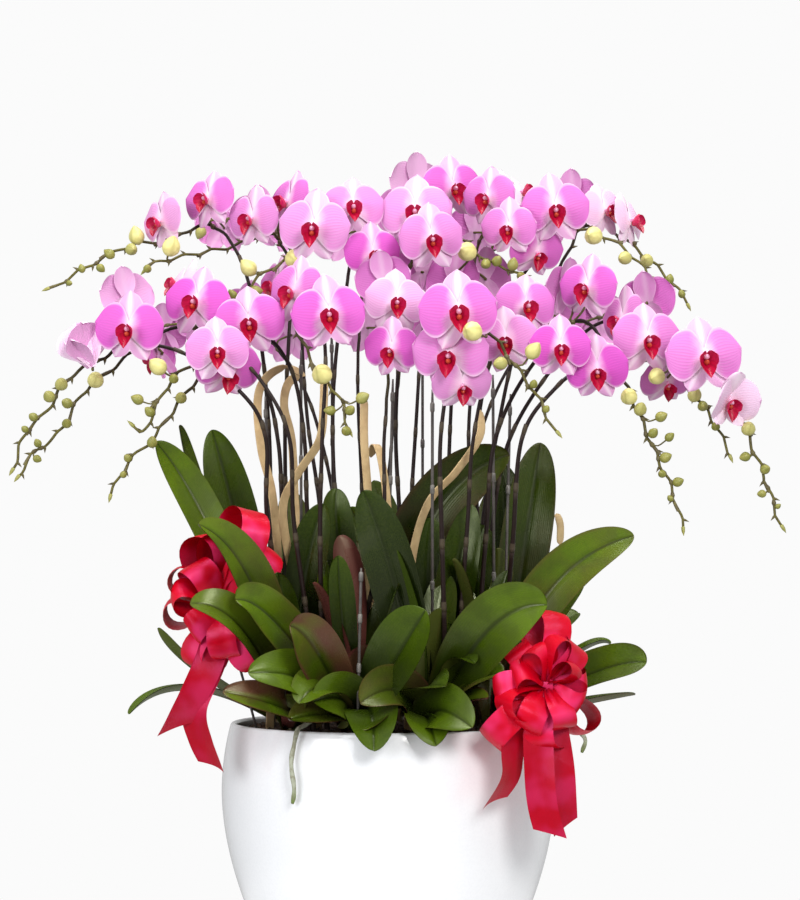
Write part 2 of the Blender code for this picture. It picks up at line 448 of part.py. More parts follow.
# Bows: the knot, the foot of the wire pick that holds it, the far end of each loop, and each hanging end
BOWS = {
    "left": (
        (-0.205, -0.140, 0.160),
        (-0.160, -0.080),
        [(-0.185, -0.140, 0.270), (-0.225, -0.145, 0.240), (-0.255, -0.140, 0.190), (-0.265, -0.135, 0.140),
         (-0.230, -0.145, 0.095), (-0.175, -0.150, 0.090), (-0.165, -0.140, 0.150), (-0.165, -0.135, 0.210)],
        [[(-0.215, -0.160, 0.105), (-0.232, -0.166, 0.065), (-0.250, -0.163, 0.033), (-0.268, -0.155, 0.002)],
         [(-0.215, -0.150, 0.095), (-0.235, -0.155, 0.040), (-0.228, -0.150, 0.000), (-0.210, -0.145, -0.042)]],
    ),
    "right": (
        (0.190, -0.205, 0.070),
        (0.145, -0.085),
        [(0.190, -0.185, 0.150), (0.225, -0.195, 0.125), (0.250, -0.190, 0.070), (0.245, -0.195, 0.015),
         (0.195, -0.215, 0.000), (0.140, -0.210, 0.005), (0.135, -0.215, 0.060), (0.160, -0.200, 0.110)],
        [[(0.175, -0.210, 0.050), (0.150, -0.215, 0.000), (0.145, -0.218, -0.040), (0.118, -0.218, -0.080)],
         [(0.190, -0.210, 0.040), (0.195, -0.215, -0.020), (0.200, -0.210, -0.070), (0.215, -0.205, -0.115)]],
    ),
}


def start_empty():
    """Removes whatever the scene holds."""
    for old in list(bpy.data.objects):
        bpy.data.objects.remove(old, do_unlink=True)


def finish(name, colour, roughness, metallic=0.0):
    """A plain Principled material."""
    material = bpy.data.materials.new(name)
    material.use_nodes = True
    shader = material.node_tree.nodes["Principled BSDF"]
    shader.inputs["Base Color"].default_value = (*colour, 1.0)
    shader.inputs["Roughness"].default_value = roughness
    shader.inputs["Metallic"].default_value = metallic
    material.diffuse_color = (*colour, 1.0)
    return material


def make_object(name, shape, material=None, smooth_angle=40):
    """Turns a bmesh into an object with its normals facing out."""
    bmesh.ops.recalc_face_normals(shape, faces=shape.faces)
    bmesh.ops.triangulate(shape, faces=shape.faces)
    mesh = bpy.data.meshes.new(name)
    shape.to_mesh(mesh)
    shape.free()
    mesh.shade_smooth()
    mesh.set_sharp_from_angle(angle=math.radians(smooth_angle))
    made = bpy.data.objects.new(name, mesh)
    bpy.context.scene.collection.objects.link(made)
    if material:
        mesh.materials.append(material)
    return made


def join_by(operation, body, shapes):
    """Unites a body with closed shapes, or cuts them from it, and keeps the outer skin of the result."""
    tools = bpy.data.collections.new("tools")
    bpy.context.scene.collection.children.link(tools)
    for i, shape in enumerate(shapes):
        tool = make_object(f"tool_{i}", shape)
        bpy.context.scene.collection.objects.unlink(tool)
        tools.objects.link(tool)
        tool.hide_render = True
        tool.display_type = "WIRE"
    step = body.modifiers.new(operation.lower(), "BOOLEAN")
    step.operation = operation
    step.operand_type = "COLLECTION"
    step.collection = tools
    graph = bpy.context.evaluated_depsgraph_get()
    result = bpy.data.meshes.new_from_object(body.evaluated_get(graph))
    body.modifiers.clear()
    body.data = result
    for tool in list(tools.objects):
        bpy.data.objects.remove(tool, do_unlink=True)
    bpy.data.collections.remove(tools)
    keep_outer_skin(result)
    return body


def keep_outer_skin(mesh):
    """Closes any sealed hollow by removing every loose shell but the largest."""
    shape = bmesh.new()
    shape.from_mesh(mesh)
    left, shells = set(shape.verts), []
    while left:
        reached = {left.pop()}
        shell = set(reached)
        while reached:
            reached = {e.other_vert(v) for v in reached for e in v.link_edges} - shell
            shell |= reached
        left -= shell
        shells.append(shell)
    largest = max(shells, key=len)
    bmesh.ops.delete(shape, geom=[v for v in shape.verts if v not in largest], context="VERTS")
    shape.to_mesh(mesh)
    shape.free()


def loft(shape, rings):
    """Adds a closed body through rings that have the same number of points."""
    loops = [[shape.verts.new(point) for point in ring] for ring in rings]
    for low, high in zip(loops, loops[1:]):
        for i in range(len(low)):
            j = (i + 1) % len(low)
            shape.faces.new((low[i], low[j], high[j], high[i]))
    shape.faces.new(loops[0][::-1])
    shape.faces.new(loops[-1])


def turned(profile, sides):
    """A closed body turned round Z from (radius, height) points that run from the axis to the axis."""
    shape = bmesh.new()
    last = len(profile) - 1
    rings = []
    for i, (radius, height) in enumerate(profile):
        if i in (0, last):
            rings.append([shape.verts.new((0, 0, height))])
            continue
        angles = [2 * math.pi * k / sides for k in range(sides)]
        rings.append([shape.verts.new((radius * math.cos(a), radius * math.sin(a), height)) for a in angles])
    for low, high in zip(rings, rings[1:]):
        for k in range(sides):
            n = (k + 1) % sides
            corners = [low[k % len(low)], low[n % len(low)], high[n % len(high)], high[k % len(high)]]
            shape.faces.new(list(dict.fromkeys(corners)))
    return shape


def directions(points, standing=False):
    """The unit direction of a path at each of its points. A standing path starts straight up."""
    ends = [points[0]] + list(points) + [points[-1]]
    found = [(after - before).normalized() for before, after in zip(ends, ends[2:])]
    return [UP] + found[1:] if standing else found


def tube(points, radii, sides, standing=False):
    """A closed tube along a path, with a radius at each point."""
    shape = bmesh.new()
    ways = directions(points, standing)
    side = ways[0].orthogonal().normalized()
    rings = []
    for point, direction, radius in zip(points, ways, radii):
        side = (side - direction * side.dot(direction)).normalized()
        other = direction.cross(side)
        angles = [2 * math.pi * k / sides for k in range(sides)]
        rings.append([point + radius * (math.cos(a) * side + math.sin(a) * other) for a in angles])
    loft(shape, rings)
    return shape


def egg(centre, direction, length, width, sides=4, rings=3):
    """A low egg-shaped body that points along a direction."""
    shape = bmesh.new()
    made = bmesh.ops.create_uvsphere(shape, u_segments=sides, v_segments=rings, radius=0.5)["verts"]
    turn = UP.rotation_difference(direction).to_matrix().to_4x4()
    scale = Matrix.Diagonal((width, width, length, 1))
    bmesh.ops.transform(shape, matrix=Matrix.Translation(centre) @ turn @ scale, verts=made)
    return shape


def pot_radius(height):
    """Outer radius of the pot at a height."""
    if height >= BELLY_HEIGHT:
        rise = (height - BELLY_HEIGHT) / (POT_HEIGHT - BELLY_HEIGHT)
        return BELLY_RADIUS - (BELLY_RADIUS - RIM_RADIUS) * rise**2
    swell = 1 - (1 - height / BELLY_HEIGHT) ** SWELL_POWER
    return FOOT_RADIUS + (BELLY_RADIUS - FOOT_RADIUS) * swell


def steps(low, high, count):
    """Evenly spaced values from low to high, both included."""
    return [low + (high - low) * i / (count - 1) for i in range(count)]


def make_pot(material):
    """The pot: a rounded foot, a swelling side and an open top."""
    outside = [(pot_radius(z), z) for z in steps(FOOT_ROUND, POT_HEIGHT - POT_WALL / 2, 10)]
    inside = [(pot_radius(z) - POT_WALL, z) for z in steps(POT_FLOOR, POT_HEIGHT - POT_WALL / 2, 6)[::-1]]
    rim = [(RIM_RADIUS - POT_WALL / 2, POT_HEIGHT)]
    profile = [(0, 0), (FOOT_RADIUS - FOOT_ROUND, 0)] + outside + rim + inside + [(0, POT_FLOOR)]
    return make_object("planter_pot", turned(profile, POT_SIDES), material)


def upright_prism(place, depth, height, radius, sides):
    """An upright prism from a depth below the bark's top to a height above it."""
    return tube([on_bark(place) - UP * depth, on_bark(place) + UP * height], [radius, radius], sides)


def make_bark(material):
    """The bark filling, with a pocket for each plant's root plug and a socket for each stake."""
    low = POT_FLOOR + BARK_GAP
    side = [(pot_radius(z) - POT_WALL - BARK_GAP, z) for z in steps(low, BARK_TOP, 6)]
    bark = make_object("bark_filling", turned([(0, low)] + side + [(0, BARK_TOP)], POT_SIDES), material)
    pocket = (PLUG_DEPTH + PLUG_GAP, CUT_OVER, PLUG_RADIUS + PLUG_GAP, PLUG_SIDES)
    socket = (STAKE_DEPTH + STAKE_GAP, CUT_OVER, STAKE_RADIUS + STAKE_GAP, STAKE_SIDES)
    cutters = [upright_prism(place, *pocket) for place, _ in PLANTS.values()]
    cutters += [upright_prism(place, *socket) for place, _ in STAKES]
    return join_by("DIFFERENCE", bark, cutters)


def spread(x, y):
    """A place in the tables moved with the rim: those inside spread with it, those outside move out with it."""
    radius = math.hypot(x, y)
    if radius < TABLE_RIM_RADIUS:
        grown = RIM_RADIUS / TABLE_RIM_RADIUS
    else:
        grown = (radius + RIM_RADIUS - TABLE_RIM_RADIUS) / radius
    return x * grown, y * grown


def on_bark(place):
    """A place in the tables as a point of the model. A place of two numbers is on the bark's top."""
    x, y, *height = place
    return Vector((*spread(x, y), BARK_TOP + sum(height)))


def over_rim(azimuth, out, rise):
    """A point outside the rim, at a distance from its outer edge and a height over its top."""
    angle = math.radians(azimuth)
    radius = pot_radius(min(POT_HEIGHT + rise, POT_HEIGHT)) + out
    return Vector((radius * math.cos(angle), radius * math.sin(angle), POT_HEIGHT + rise))


def leaf_width(along):
    """Width of a leaf at a share of its length, as a share of its greatest width."""
    return 0.42 + 0.58 * math.sin(math.pi * min(along / 0.62, 1) / 2) if along < 0.62 else \
        math.sqrt(max(1 - ((along - 0.62) / 0.40) ** 2, 0))


def leaf_blade(crown, middle, tip, width, face):
    """A strap leaf: a bent blade, thickest at its midrib, with a channel along its upper side."""
    bend = 2 * middle - (crown + tip) / 2
    alongs = steps(0, 1, LEAF_STATIONS)
    points = [(1 - t) ** 2 * crown + 2 * t * (1 - t) * bend + t**2 * tip for t in alongs]
    inward = Vector((crown.x - tip.x, crown.y - tip.y, 0)).normalized()
    rings = []
    for t, point, direction in zip(alongs, points, directions(points)):
        wanted = (1 - abs(face)) * (UP + 0.3 * inward) + face * FRONT
        normal = (wanted - direction * wanted.dot(direction)).normalized()
        half = direction.cross(normal) * width * leaf_width(t) / 2
        rise = normal * LEAF_FOLD * width * leaf_width(t)
        rings.append([point - half + rise, point, point + half + rise, point - normal * LEAF_THICKNESS])
    shape = bmesh.new()
    loft(shape, rings)
    return shape


def hanging_root(crown, azimuth, drop):
    """A root that runs from the crown over the rim and hangs outside it."""
    over = over_rim(azimuth, -POT_WALL / 2, ROOT_RADIUS + RIM_CLEARANCE)
    route = [crown, crown.lerp(over, 0.6) + UP * ROOT_ARCH, over]
    route += [over_rim(azimuth, ROOT_RADIUS + out, rise) for out, rise in drop]
    return tube(route, [ROOT_RADIUS] * len(route), 5)


def make_plant(number, place, leaves, material):
    """A plant's leaves, crown and root plug in one body, with any root that hangs over the rim."""
    plug = upright_prism(place, PLUG_DEPTH, CROWN_HEIGHT, PLUG_RADIUS, PLUG_SIDES)
    crown = on_bark(place) + UP * CROWN_HEIGHT * LEAF_START
    growth = [leaf_blade(crown, on_bark(middle), on_bark(tip), *rest) for middle, tip, *rest in leaves]
    growth += [hanging_root(crown, azimuth, drop) for plant, azimuth, drop in ROOTS if plant == number]
    return join_by("UNION", make_object(f"orchid_leaves_{number:02}", plug, material), growth)


def flower_frame(place, azimuth, elevation):
    """The matrix that puts a flower at its place, facing its way."""
    a, e = math.radians(azimuth), math.radians(elevation)
    facing = Vector((math.sin(a) * math.cos(e), -math.cos(a) * math.cos(e), math.sin(e)))
    across = UP.cross(facing).normalized()
    upward = facing.cross(across)
    turn = Matrix((across, upward, facing)).transposed().to_4x4()
    return Matrix.Translation(on_bark(place)) @ turn


def open_flower(frame, width):
    """An open flower: petals and sepals spread to a thin edge, rising to the lip in front."""
    shape = bmesh.new()
    left = [(-x, y, z) for x, y, z in FLOWER_OUTLINE[::-1]]
    outline = [SEPAL_TOP, *FLOWER_OUTLINE, SEPAL_NOTCH, *left]
    edge = [shape.verts.new(frame @ (Vector(p) * width)) for p in outline]
    lip = shape.verts.new(frame @ (Vector(LIP_TIP) * width))
    heel = shape.verts.new(frame @ (Vector(FLOWER_BACK) * width))
    for here, after in zip(edge, edge[1:] + edge[:1]):
        shape.faces.new((here, after, lip))
        shape.faces.new((after, here, heel))
    return shape


def nearest_on(points, target):
    """The point of a path that is nearest to a target."""
    best = None
    for start, end in zip(points, points[1:]):
        run = end - start
        share = min(max((target - start).dot(run) / run.length_squared, 0), 1)
        found = start + run * share
        if best is None or (found - target).length < (best - target).length:
            best = found
    return best


def pedicel(start, end):
    """The stalk from the stem to the back of a flower or bud."""
    return tube([start, end], [PEDICEL_RADIUS] * 2, 3)


def make_spike(number, route, flowers, buds, material, half_open=()):
    """A flower spike in one body: stem, stalks, flowers and buds."""
    points = [on_bark(place) for place in route]
    points[0] += UP * TOUCH_GAP
    radii = steps(STEM_FOOT_RADIUS, STEM_TIP_RADIUS, len(points))
    stem = make_object(f"flower_spike_{number:02}", tube(points, radii, STEM_SIDES, standing=True), material)
    heads = []
    for place, azimuth, elevation, size in flowers:
        frame = flower_frame(place, azimuth, elevation)
        heads.append(open_flower(frame, FLOWER_WIDTH * size))
        heads.append(pedicel(nearest_on(points, frame @ PEDICEL_PULL), frame.translation))
    for place, azimuth, elevation, size in half_open:
        frame = flower_frame(place, azimuth, elevation)
        facing = frame.to_3x3() @ UP
        heads.append(egg(frame.translation, facing, HALF_OPEN_LENGTH * size, HALF_OPEN_WIDTH * size, 6, 4))
        heads.append(pedicel(nearest_on(points, frame.translation), frame.translation))
    for place, length in buds:
        centre = on_bark(place)
        start = nearest_on(points, centre)
        heads.append(egg(centre, (centre - start).normalized(), length, length * BUD_SLIMNESS))
        heads.append(pedicel(start, centre))
    return join_by("UNION", stem, heads)


def make_stake(number, place, top, material):
    """A support stake, straight from its socket in the bark to its top."""
    socket = on_bark(place) - UP * STAKE_DEPTH
    mouth = on_bark(place) + UP * TOUCH_GAP
    shape = tube([socket, mouth, on_bark(top)], [STAKE_RADIUS] * 3, STAKE_SIDES, standing=True)
    return make_object(f"support_stake_{number:02}", shape, material)


def band(points, width, thickness, across, standing=False):
    """A flat band along a path, with its width laid along a direction."""
    rings = []
    for point, direction in zip(points, directions(points, standing)):
        side = (across - direction * across.dot(direction)).normalized() * width / 2
        lift = side.cross(direction).normalized() * thickness / 2
        rings.append([point - side - lift, point + side - lift, point + side + lift, point - side + lift])
    shape = bmesh.new()
    loft(shape, rings)
    return shape


def make_strip(number, route, material):
    """A curled strip of cane that stands on the bark."""
    points = [on_bark(place) for place in route]
    points[0] += UP * TOUCH_GAP
    shape = band(points, STRIP_WIDTH, STRIP_THICKNESS, STRIP_ACROSS, standing=True)
    return make_object(f"cane_strip_{number}", shape, material)


def make_bow(side, knot, foot, loops, tails, material):
    """A bow as one body: knot, full loops round it, the wire pick that holds it and the hanging ribbon ends."""
    centre = on_bark(knot)
    body = make_object(f"ribbon_bow_{side}", egg(centre, UP, RIBBON_WIDTH, RIBBON_WIDTH, 5, 4), material)
    shapes = [tube([on_bark(foot) + UP * TOUCH_GAP, centre], [PICK_RADIUS] * 2, 5, standing=True)]
    for end in loops:
        reach = on_bark(end) - centre
        middle = centre + reach * LOOP_MIDDLE
        shapes.append(egg(middle, reach.normalized(), reach.length, RIBBON_WIDTH, 5, 3))
    for route in tails:
        points = [centre] + [on_bark(place) for place in route]
        shapes.append(band(points, RIBBON_WIDTH, RIBBON_THICKNESS, TAIL_ACROSS))
    return join_by("UNION", body, shapes)


def main():
    start_empty()
    glaze = finish("white_glaze", (0.92, 0.93, 0.93), 0.18)
    bark = finish("bark", (0.05, 0.035, 0.025), 0.95)
    leaf = finish("leaf_green", (0.06, 0.12, 0.02), 0.4)
    bloom = finish("orchid_pink", (0.85, 0.25, 0.70), 0.5)
    stake = finish("dark_stake", (0.08, 0.06, 0.06), 0.5)
    cane = finish("cane", (0.65, 0.45, 0.22), 0.6)
    satin = finish("red_satin", (0.75, 0.02, 0.08), 0.35)
    make_pot(glaze)
    make_bark(bark)
    for number, (place, leaves) in PLANTS.items():
        make_plant(number, place, leaves, leaf)
    for number, spike in enumerate(SPIKES, 1):
        make_spike(number, material=bloom, **spike)
    for number, (place, top) in enumerate(STAKES, 1):
        make_stake(number, place, top, stake)
    for number, route in enumerate(STRIPS, 1):
        make_strip(number, route, cane)
    for side, (knot, foot, loops, tails) in BOWS.items():
        make_bow(side, knot, foot, loops, tails, satin)


main()
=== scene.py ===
"""Gift planter of moth orchids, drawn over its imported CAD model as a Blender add-on.

Each operator builds one group of pieces: the pot, the bark, the leaves, the flower spikes, the stakes, the
cane strips and the ribbon bows. One more sets the stage: floor, lights and camera. Metres, +Z up. The tables
of plants, roots, spikes, stakes, strips and bows are in millimetres, with places from the middle of the
bark's flat top."""

import math

import bpy
import numpy as np
from bpy.props import FloatProperty, FloatVectorProperty, PointerProperty
from bpy.types import Operator, Panel, PropertyGroup
from mathutils import Euler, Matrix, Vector


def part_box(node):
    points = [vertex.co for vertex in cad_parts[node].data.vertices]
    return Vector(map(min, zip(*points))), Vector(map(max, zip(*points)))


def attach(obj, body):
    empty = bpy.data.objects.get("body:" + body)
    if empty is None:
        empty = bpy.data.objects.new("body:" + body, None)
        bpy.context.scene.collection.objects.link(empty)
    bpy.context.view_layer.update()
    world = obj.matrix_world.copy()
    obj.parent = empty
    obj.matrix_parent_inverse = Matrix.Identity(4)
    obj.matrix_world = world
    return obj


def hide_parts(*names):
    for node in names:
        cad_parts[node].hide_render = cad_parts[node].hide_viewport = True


bl_info = {
    "name": "Potted Orchids",
    "version": (1, 0, 0),
    "blender": (4, 5, 0),
    "location": "View3D > Sidebar > Orchids",
    "description": "Draws a gift planter of moth orchids over its packed CAD model",
    "category": "Add Mesh",
}

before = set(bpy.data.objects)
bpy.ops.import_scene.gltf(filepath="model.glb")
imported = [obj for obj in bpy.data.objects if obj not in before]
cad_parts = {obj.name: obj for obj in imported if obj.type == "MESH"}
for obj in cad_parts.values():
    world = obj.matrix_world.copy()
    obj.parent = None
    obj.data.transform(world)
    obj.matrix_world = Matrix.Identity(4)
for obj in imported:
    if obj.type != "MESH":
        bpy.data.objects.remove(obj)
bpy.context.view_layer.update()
BARK_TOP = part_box("bark_filling")[1].z

UP = np.array((0.0, 0.0, 1.0))
FRONT = np.array((0.0, -1.0, 0.0))
LEVEL = np.array((1.0, 1.0, 0.0))

# Pot and bark. The foot ring's underside is given as (share of the foot's radius, height).
POT_HEIGHT = 0.357
BELLY_RADIUS = 0.2145
BELLY_HEIGHT = 0.27
FOOT_RADIUS = 0.119
SWELL_POWER = 1.8
RIM_RADIUS = 0.2030
POT_WALL = 0.008
POT_SIDES = 128
POT_FOOT = (
    (0.0, 0.006), (0.45, 0.006), (0.8, 0.006), (0.86, 0.0045), (0.88, 0.0012), (0.9, 0.0), (0.955, 0.0),
)
CHIP_COUNT = 900

# Plants, as in the CAD: place on the bark, then leaves as (middle, tip, width, face, purple). A face of 0
# looks up, 1 to the front and -1 to the back.
CROWN_HEIGHT = 0.018
LEAF_FOLD = 0.16
LEAF_WIDEST = 0.56
INNER_LEAVES = 5
INNER_REACH = 0.18
PLANTS = {
    1: ((-120, -105), [
        ((-220, -55, 245), (-295, -70, 370), 44, 0.7, 0.1),
        ((-162, -186, 186), (-225, -235, 262), 50, 0.6, 0.35),
        ((-172, -203, 134), (-235, -230, 168), 44, 0.6, 0.3),
        ((-102, -195, 72), (-165, -238, 86), 56, 0.7, 0.1),
        ((-122, -195, 40), (-195, -235, 64), 46, 0.6, 1),
        ((-105, -105, 185), (-80, -115, 290), 44, 0.9, 0),
        ((-128, -130, 120), (-135, -150, 205), 42, 0.9, 0),
    ]),
    2: ((-42, -135), [
        ((-128, -200, 138), (-180, -240, 172), 50, 0.7, 0.3),
        ((-82, -212, 106), (-115, -250, 142), 54, 0.8, 0.9),
        ((-55, -172, 145), (-60, -192, 225), 30, 0.5, 0),
        ((-45, -145, 170), (-60, -145, 250), 34, -0.9, 0.8),
        ((12, -205, 105), (45, -240, 160), 62, 0.7, 0),
        ((-75, -205, 65), (-105, -240, 50), 50, 0.5, 0.2),
        ((-22, -192, 40), (-16, -240, -6), 60, 0.6, 0),
        ((-65, -190, 34), (-118, -222, 30), 48, 0.5, 0.6),
        ((-50, -195, 50), (-88, -236, 52), 56, 0.8, 0.1),
        ((-20, -185, 30), (-30, -228, 18), 50, 0.4, 0.3),
    ]),
    3: ((50, -135), [
        ((10, -150, 185), (-30, -160, 305), 56, 0.95, 0),
        ((15, -190, 62), (-32, -236, 50), 52, 0.75, 0.4),
        ((80, -170, 90), (105, -200, 95), 30, 0.3, 0.1),
        ((62, -200, 40), (100, -245, 22), 56, 0.8, 0.1),
        ((48, -190, 30), (58, -240, 0), 52, 0.6, 0.1),
        ((118, -200, 132), (190, -240, 166), 68, 0.9, 0.1),
        ((85, -185, 45), (120, -215, 55), 34, 0.4, 0.8),
        ((45, -180, 60), (70, -222, 70), 52, 0.5, 0.1),
        ((75, -185, 30), (85, -225, 22), 50, 0.4, 0),
        ((90, -175, 65), (140, -205, 85), 54, 0.5, 0.6),
    ]),
    4: ((122, -95), [
        ((125, -150, 80), (120, -170, 95), 30, 0.5, 0.1),
        ((195, -120, 175), (305, -130, 250), 56, 0.8, 0.4),
    ]),
    5: ((-140, 15), [
        ((-230, 0, 245), (-270, -20, 395), 36, 0.3, 0.2),
        ((-250, -50, 85), (-290, -70, 135), 28, 0, 0.1),
        ((-255, -20, 55), (-330, -50, 25), 28, 0, 0.1),
        ((-190, 10, 235), (-230, 0, 390), 56, 0.9, 0),
        ((-210, 60, 120), (-280, 100, 150), 55, 0, 0.1),
    ]),
    6: ((-30, -35), [
        ((-55, -105, 160), (-55, -115, 230), 30, 0.9, 0),
        ((-60, -80, 210), (-65, -85, 310), 40, 0.6, 0),
        ((40, -35, 250), (155, -50, 355), 72, 0.9, 0.3),
        ((-20, 0, 170), (-50, 10, 290), 50, 0.9, 0),
    ]),
    7: ((55, -30), [
        ((80, -85, 165), (105, -95, 290), 46, 0.9, 0),
        ((95, -45, 175), (122, -50, 265), 56, 0.9, 0),
        ((50, -60, 155), (55, -65, 275), 50, 0.9, 0),
    ]),
    8: ((140, 20), [
        ((190, -30, 135), (250, -40, 195), 50, 0.7, 0.1),
        ((175, 20, 220), (200, 30, 375), 60, 0.95, 0.2),
        ((158, 60, 210), (150, 78, 350), 50, 0.9, 0),
        ((260, -20, 75), (330, -40, 90), 50, 0.6, 0.2),
        ((265, 40, 35), (325, 50, 45), 26, 0, 0.3),
        ((245, 60, 95), (295, 70, 110), 26, 0, 0.1),
        ((210, 80, 110), (255, 110, 150), 46, 0.2, 0.1),
    ]),
    9: ((-85, 110), [
        ((-170, 160, 150), (-240, 200, 200), 55, 0, 0.1),
        ((-130, 200, 140), (-170, 280, 170), 55, 0, 0),
        ((-70, 210, 100), (-60, 290, 100), 55, 0, 0.2),
        ((-120, 140, 200), (-140, 170, 320), 50, -0.7, 0.1),
    ]),
    10: ((10, 85), [
        ((5, 180, 130), (0, 270, 160), 55, -0.2, 0.1),
        ((30, 200, 70), (50, 290, 60), 50, 0, 0.3),
        ((0, 110, 200), (-20, 140, 330), 50, -0.8, 0),
        ((35, 115, 190), (60, 150, 300), 46, -0.8, 0),
    ]),
    11: ((100, 110), [
        ((180, 160, 150), (250, 200, 190), 55, 0, 0.1),
        ((140, 200, 130), (180, 280, 150), 55, 0, 0.2),
        ((95, 220, 110), (90, 300, 120), 55, 0, 0),
        ((130, 140, 200), (160, 160, 340), 50, -0.8, 0.1),
    ]),
}

# Roots that hang over the rim: plant, azimuth in degrees from +X, then (out from the rim, height over it)
ROOT_RADIUS = 0.0028
ROOTS = (
    (2, 239, ((7, 2), (6, -20), (8, -50), (4, -85))),
    (8, 350, ((7, 3), (26, -2), (43, -18), (36, -36))),
)

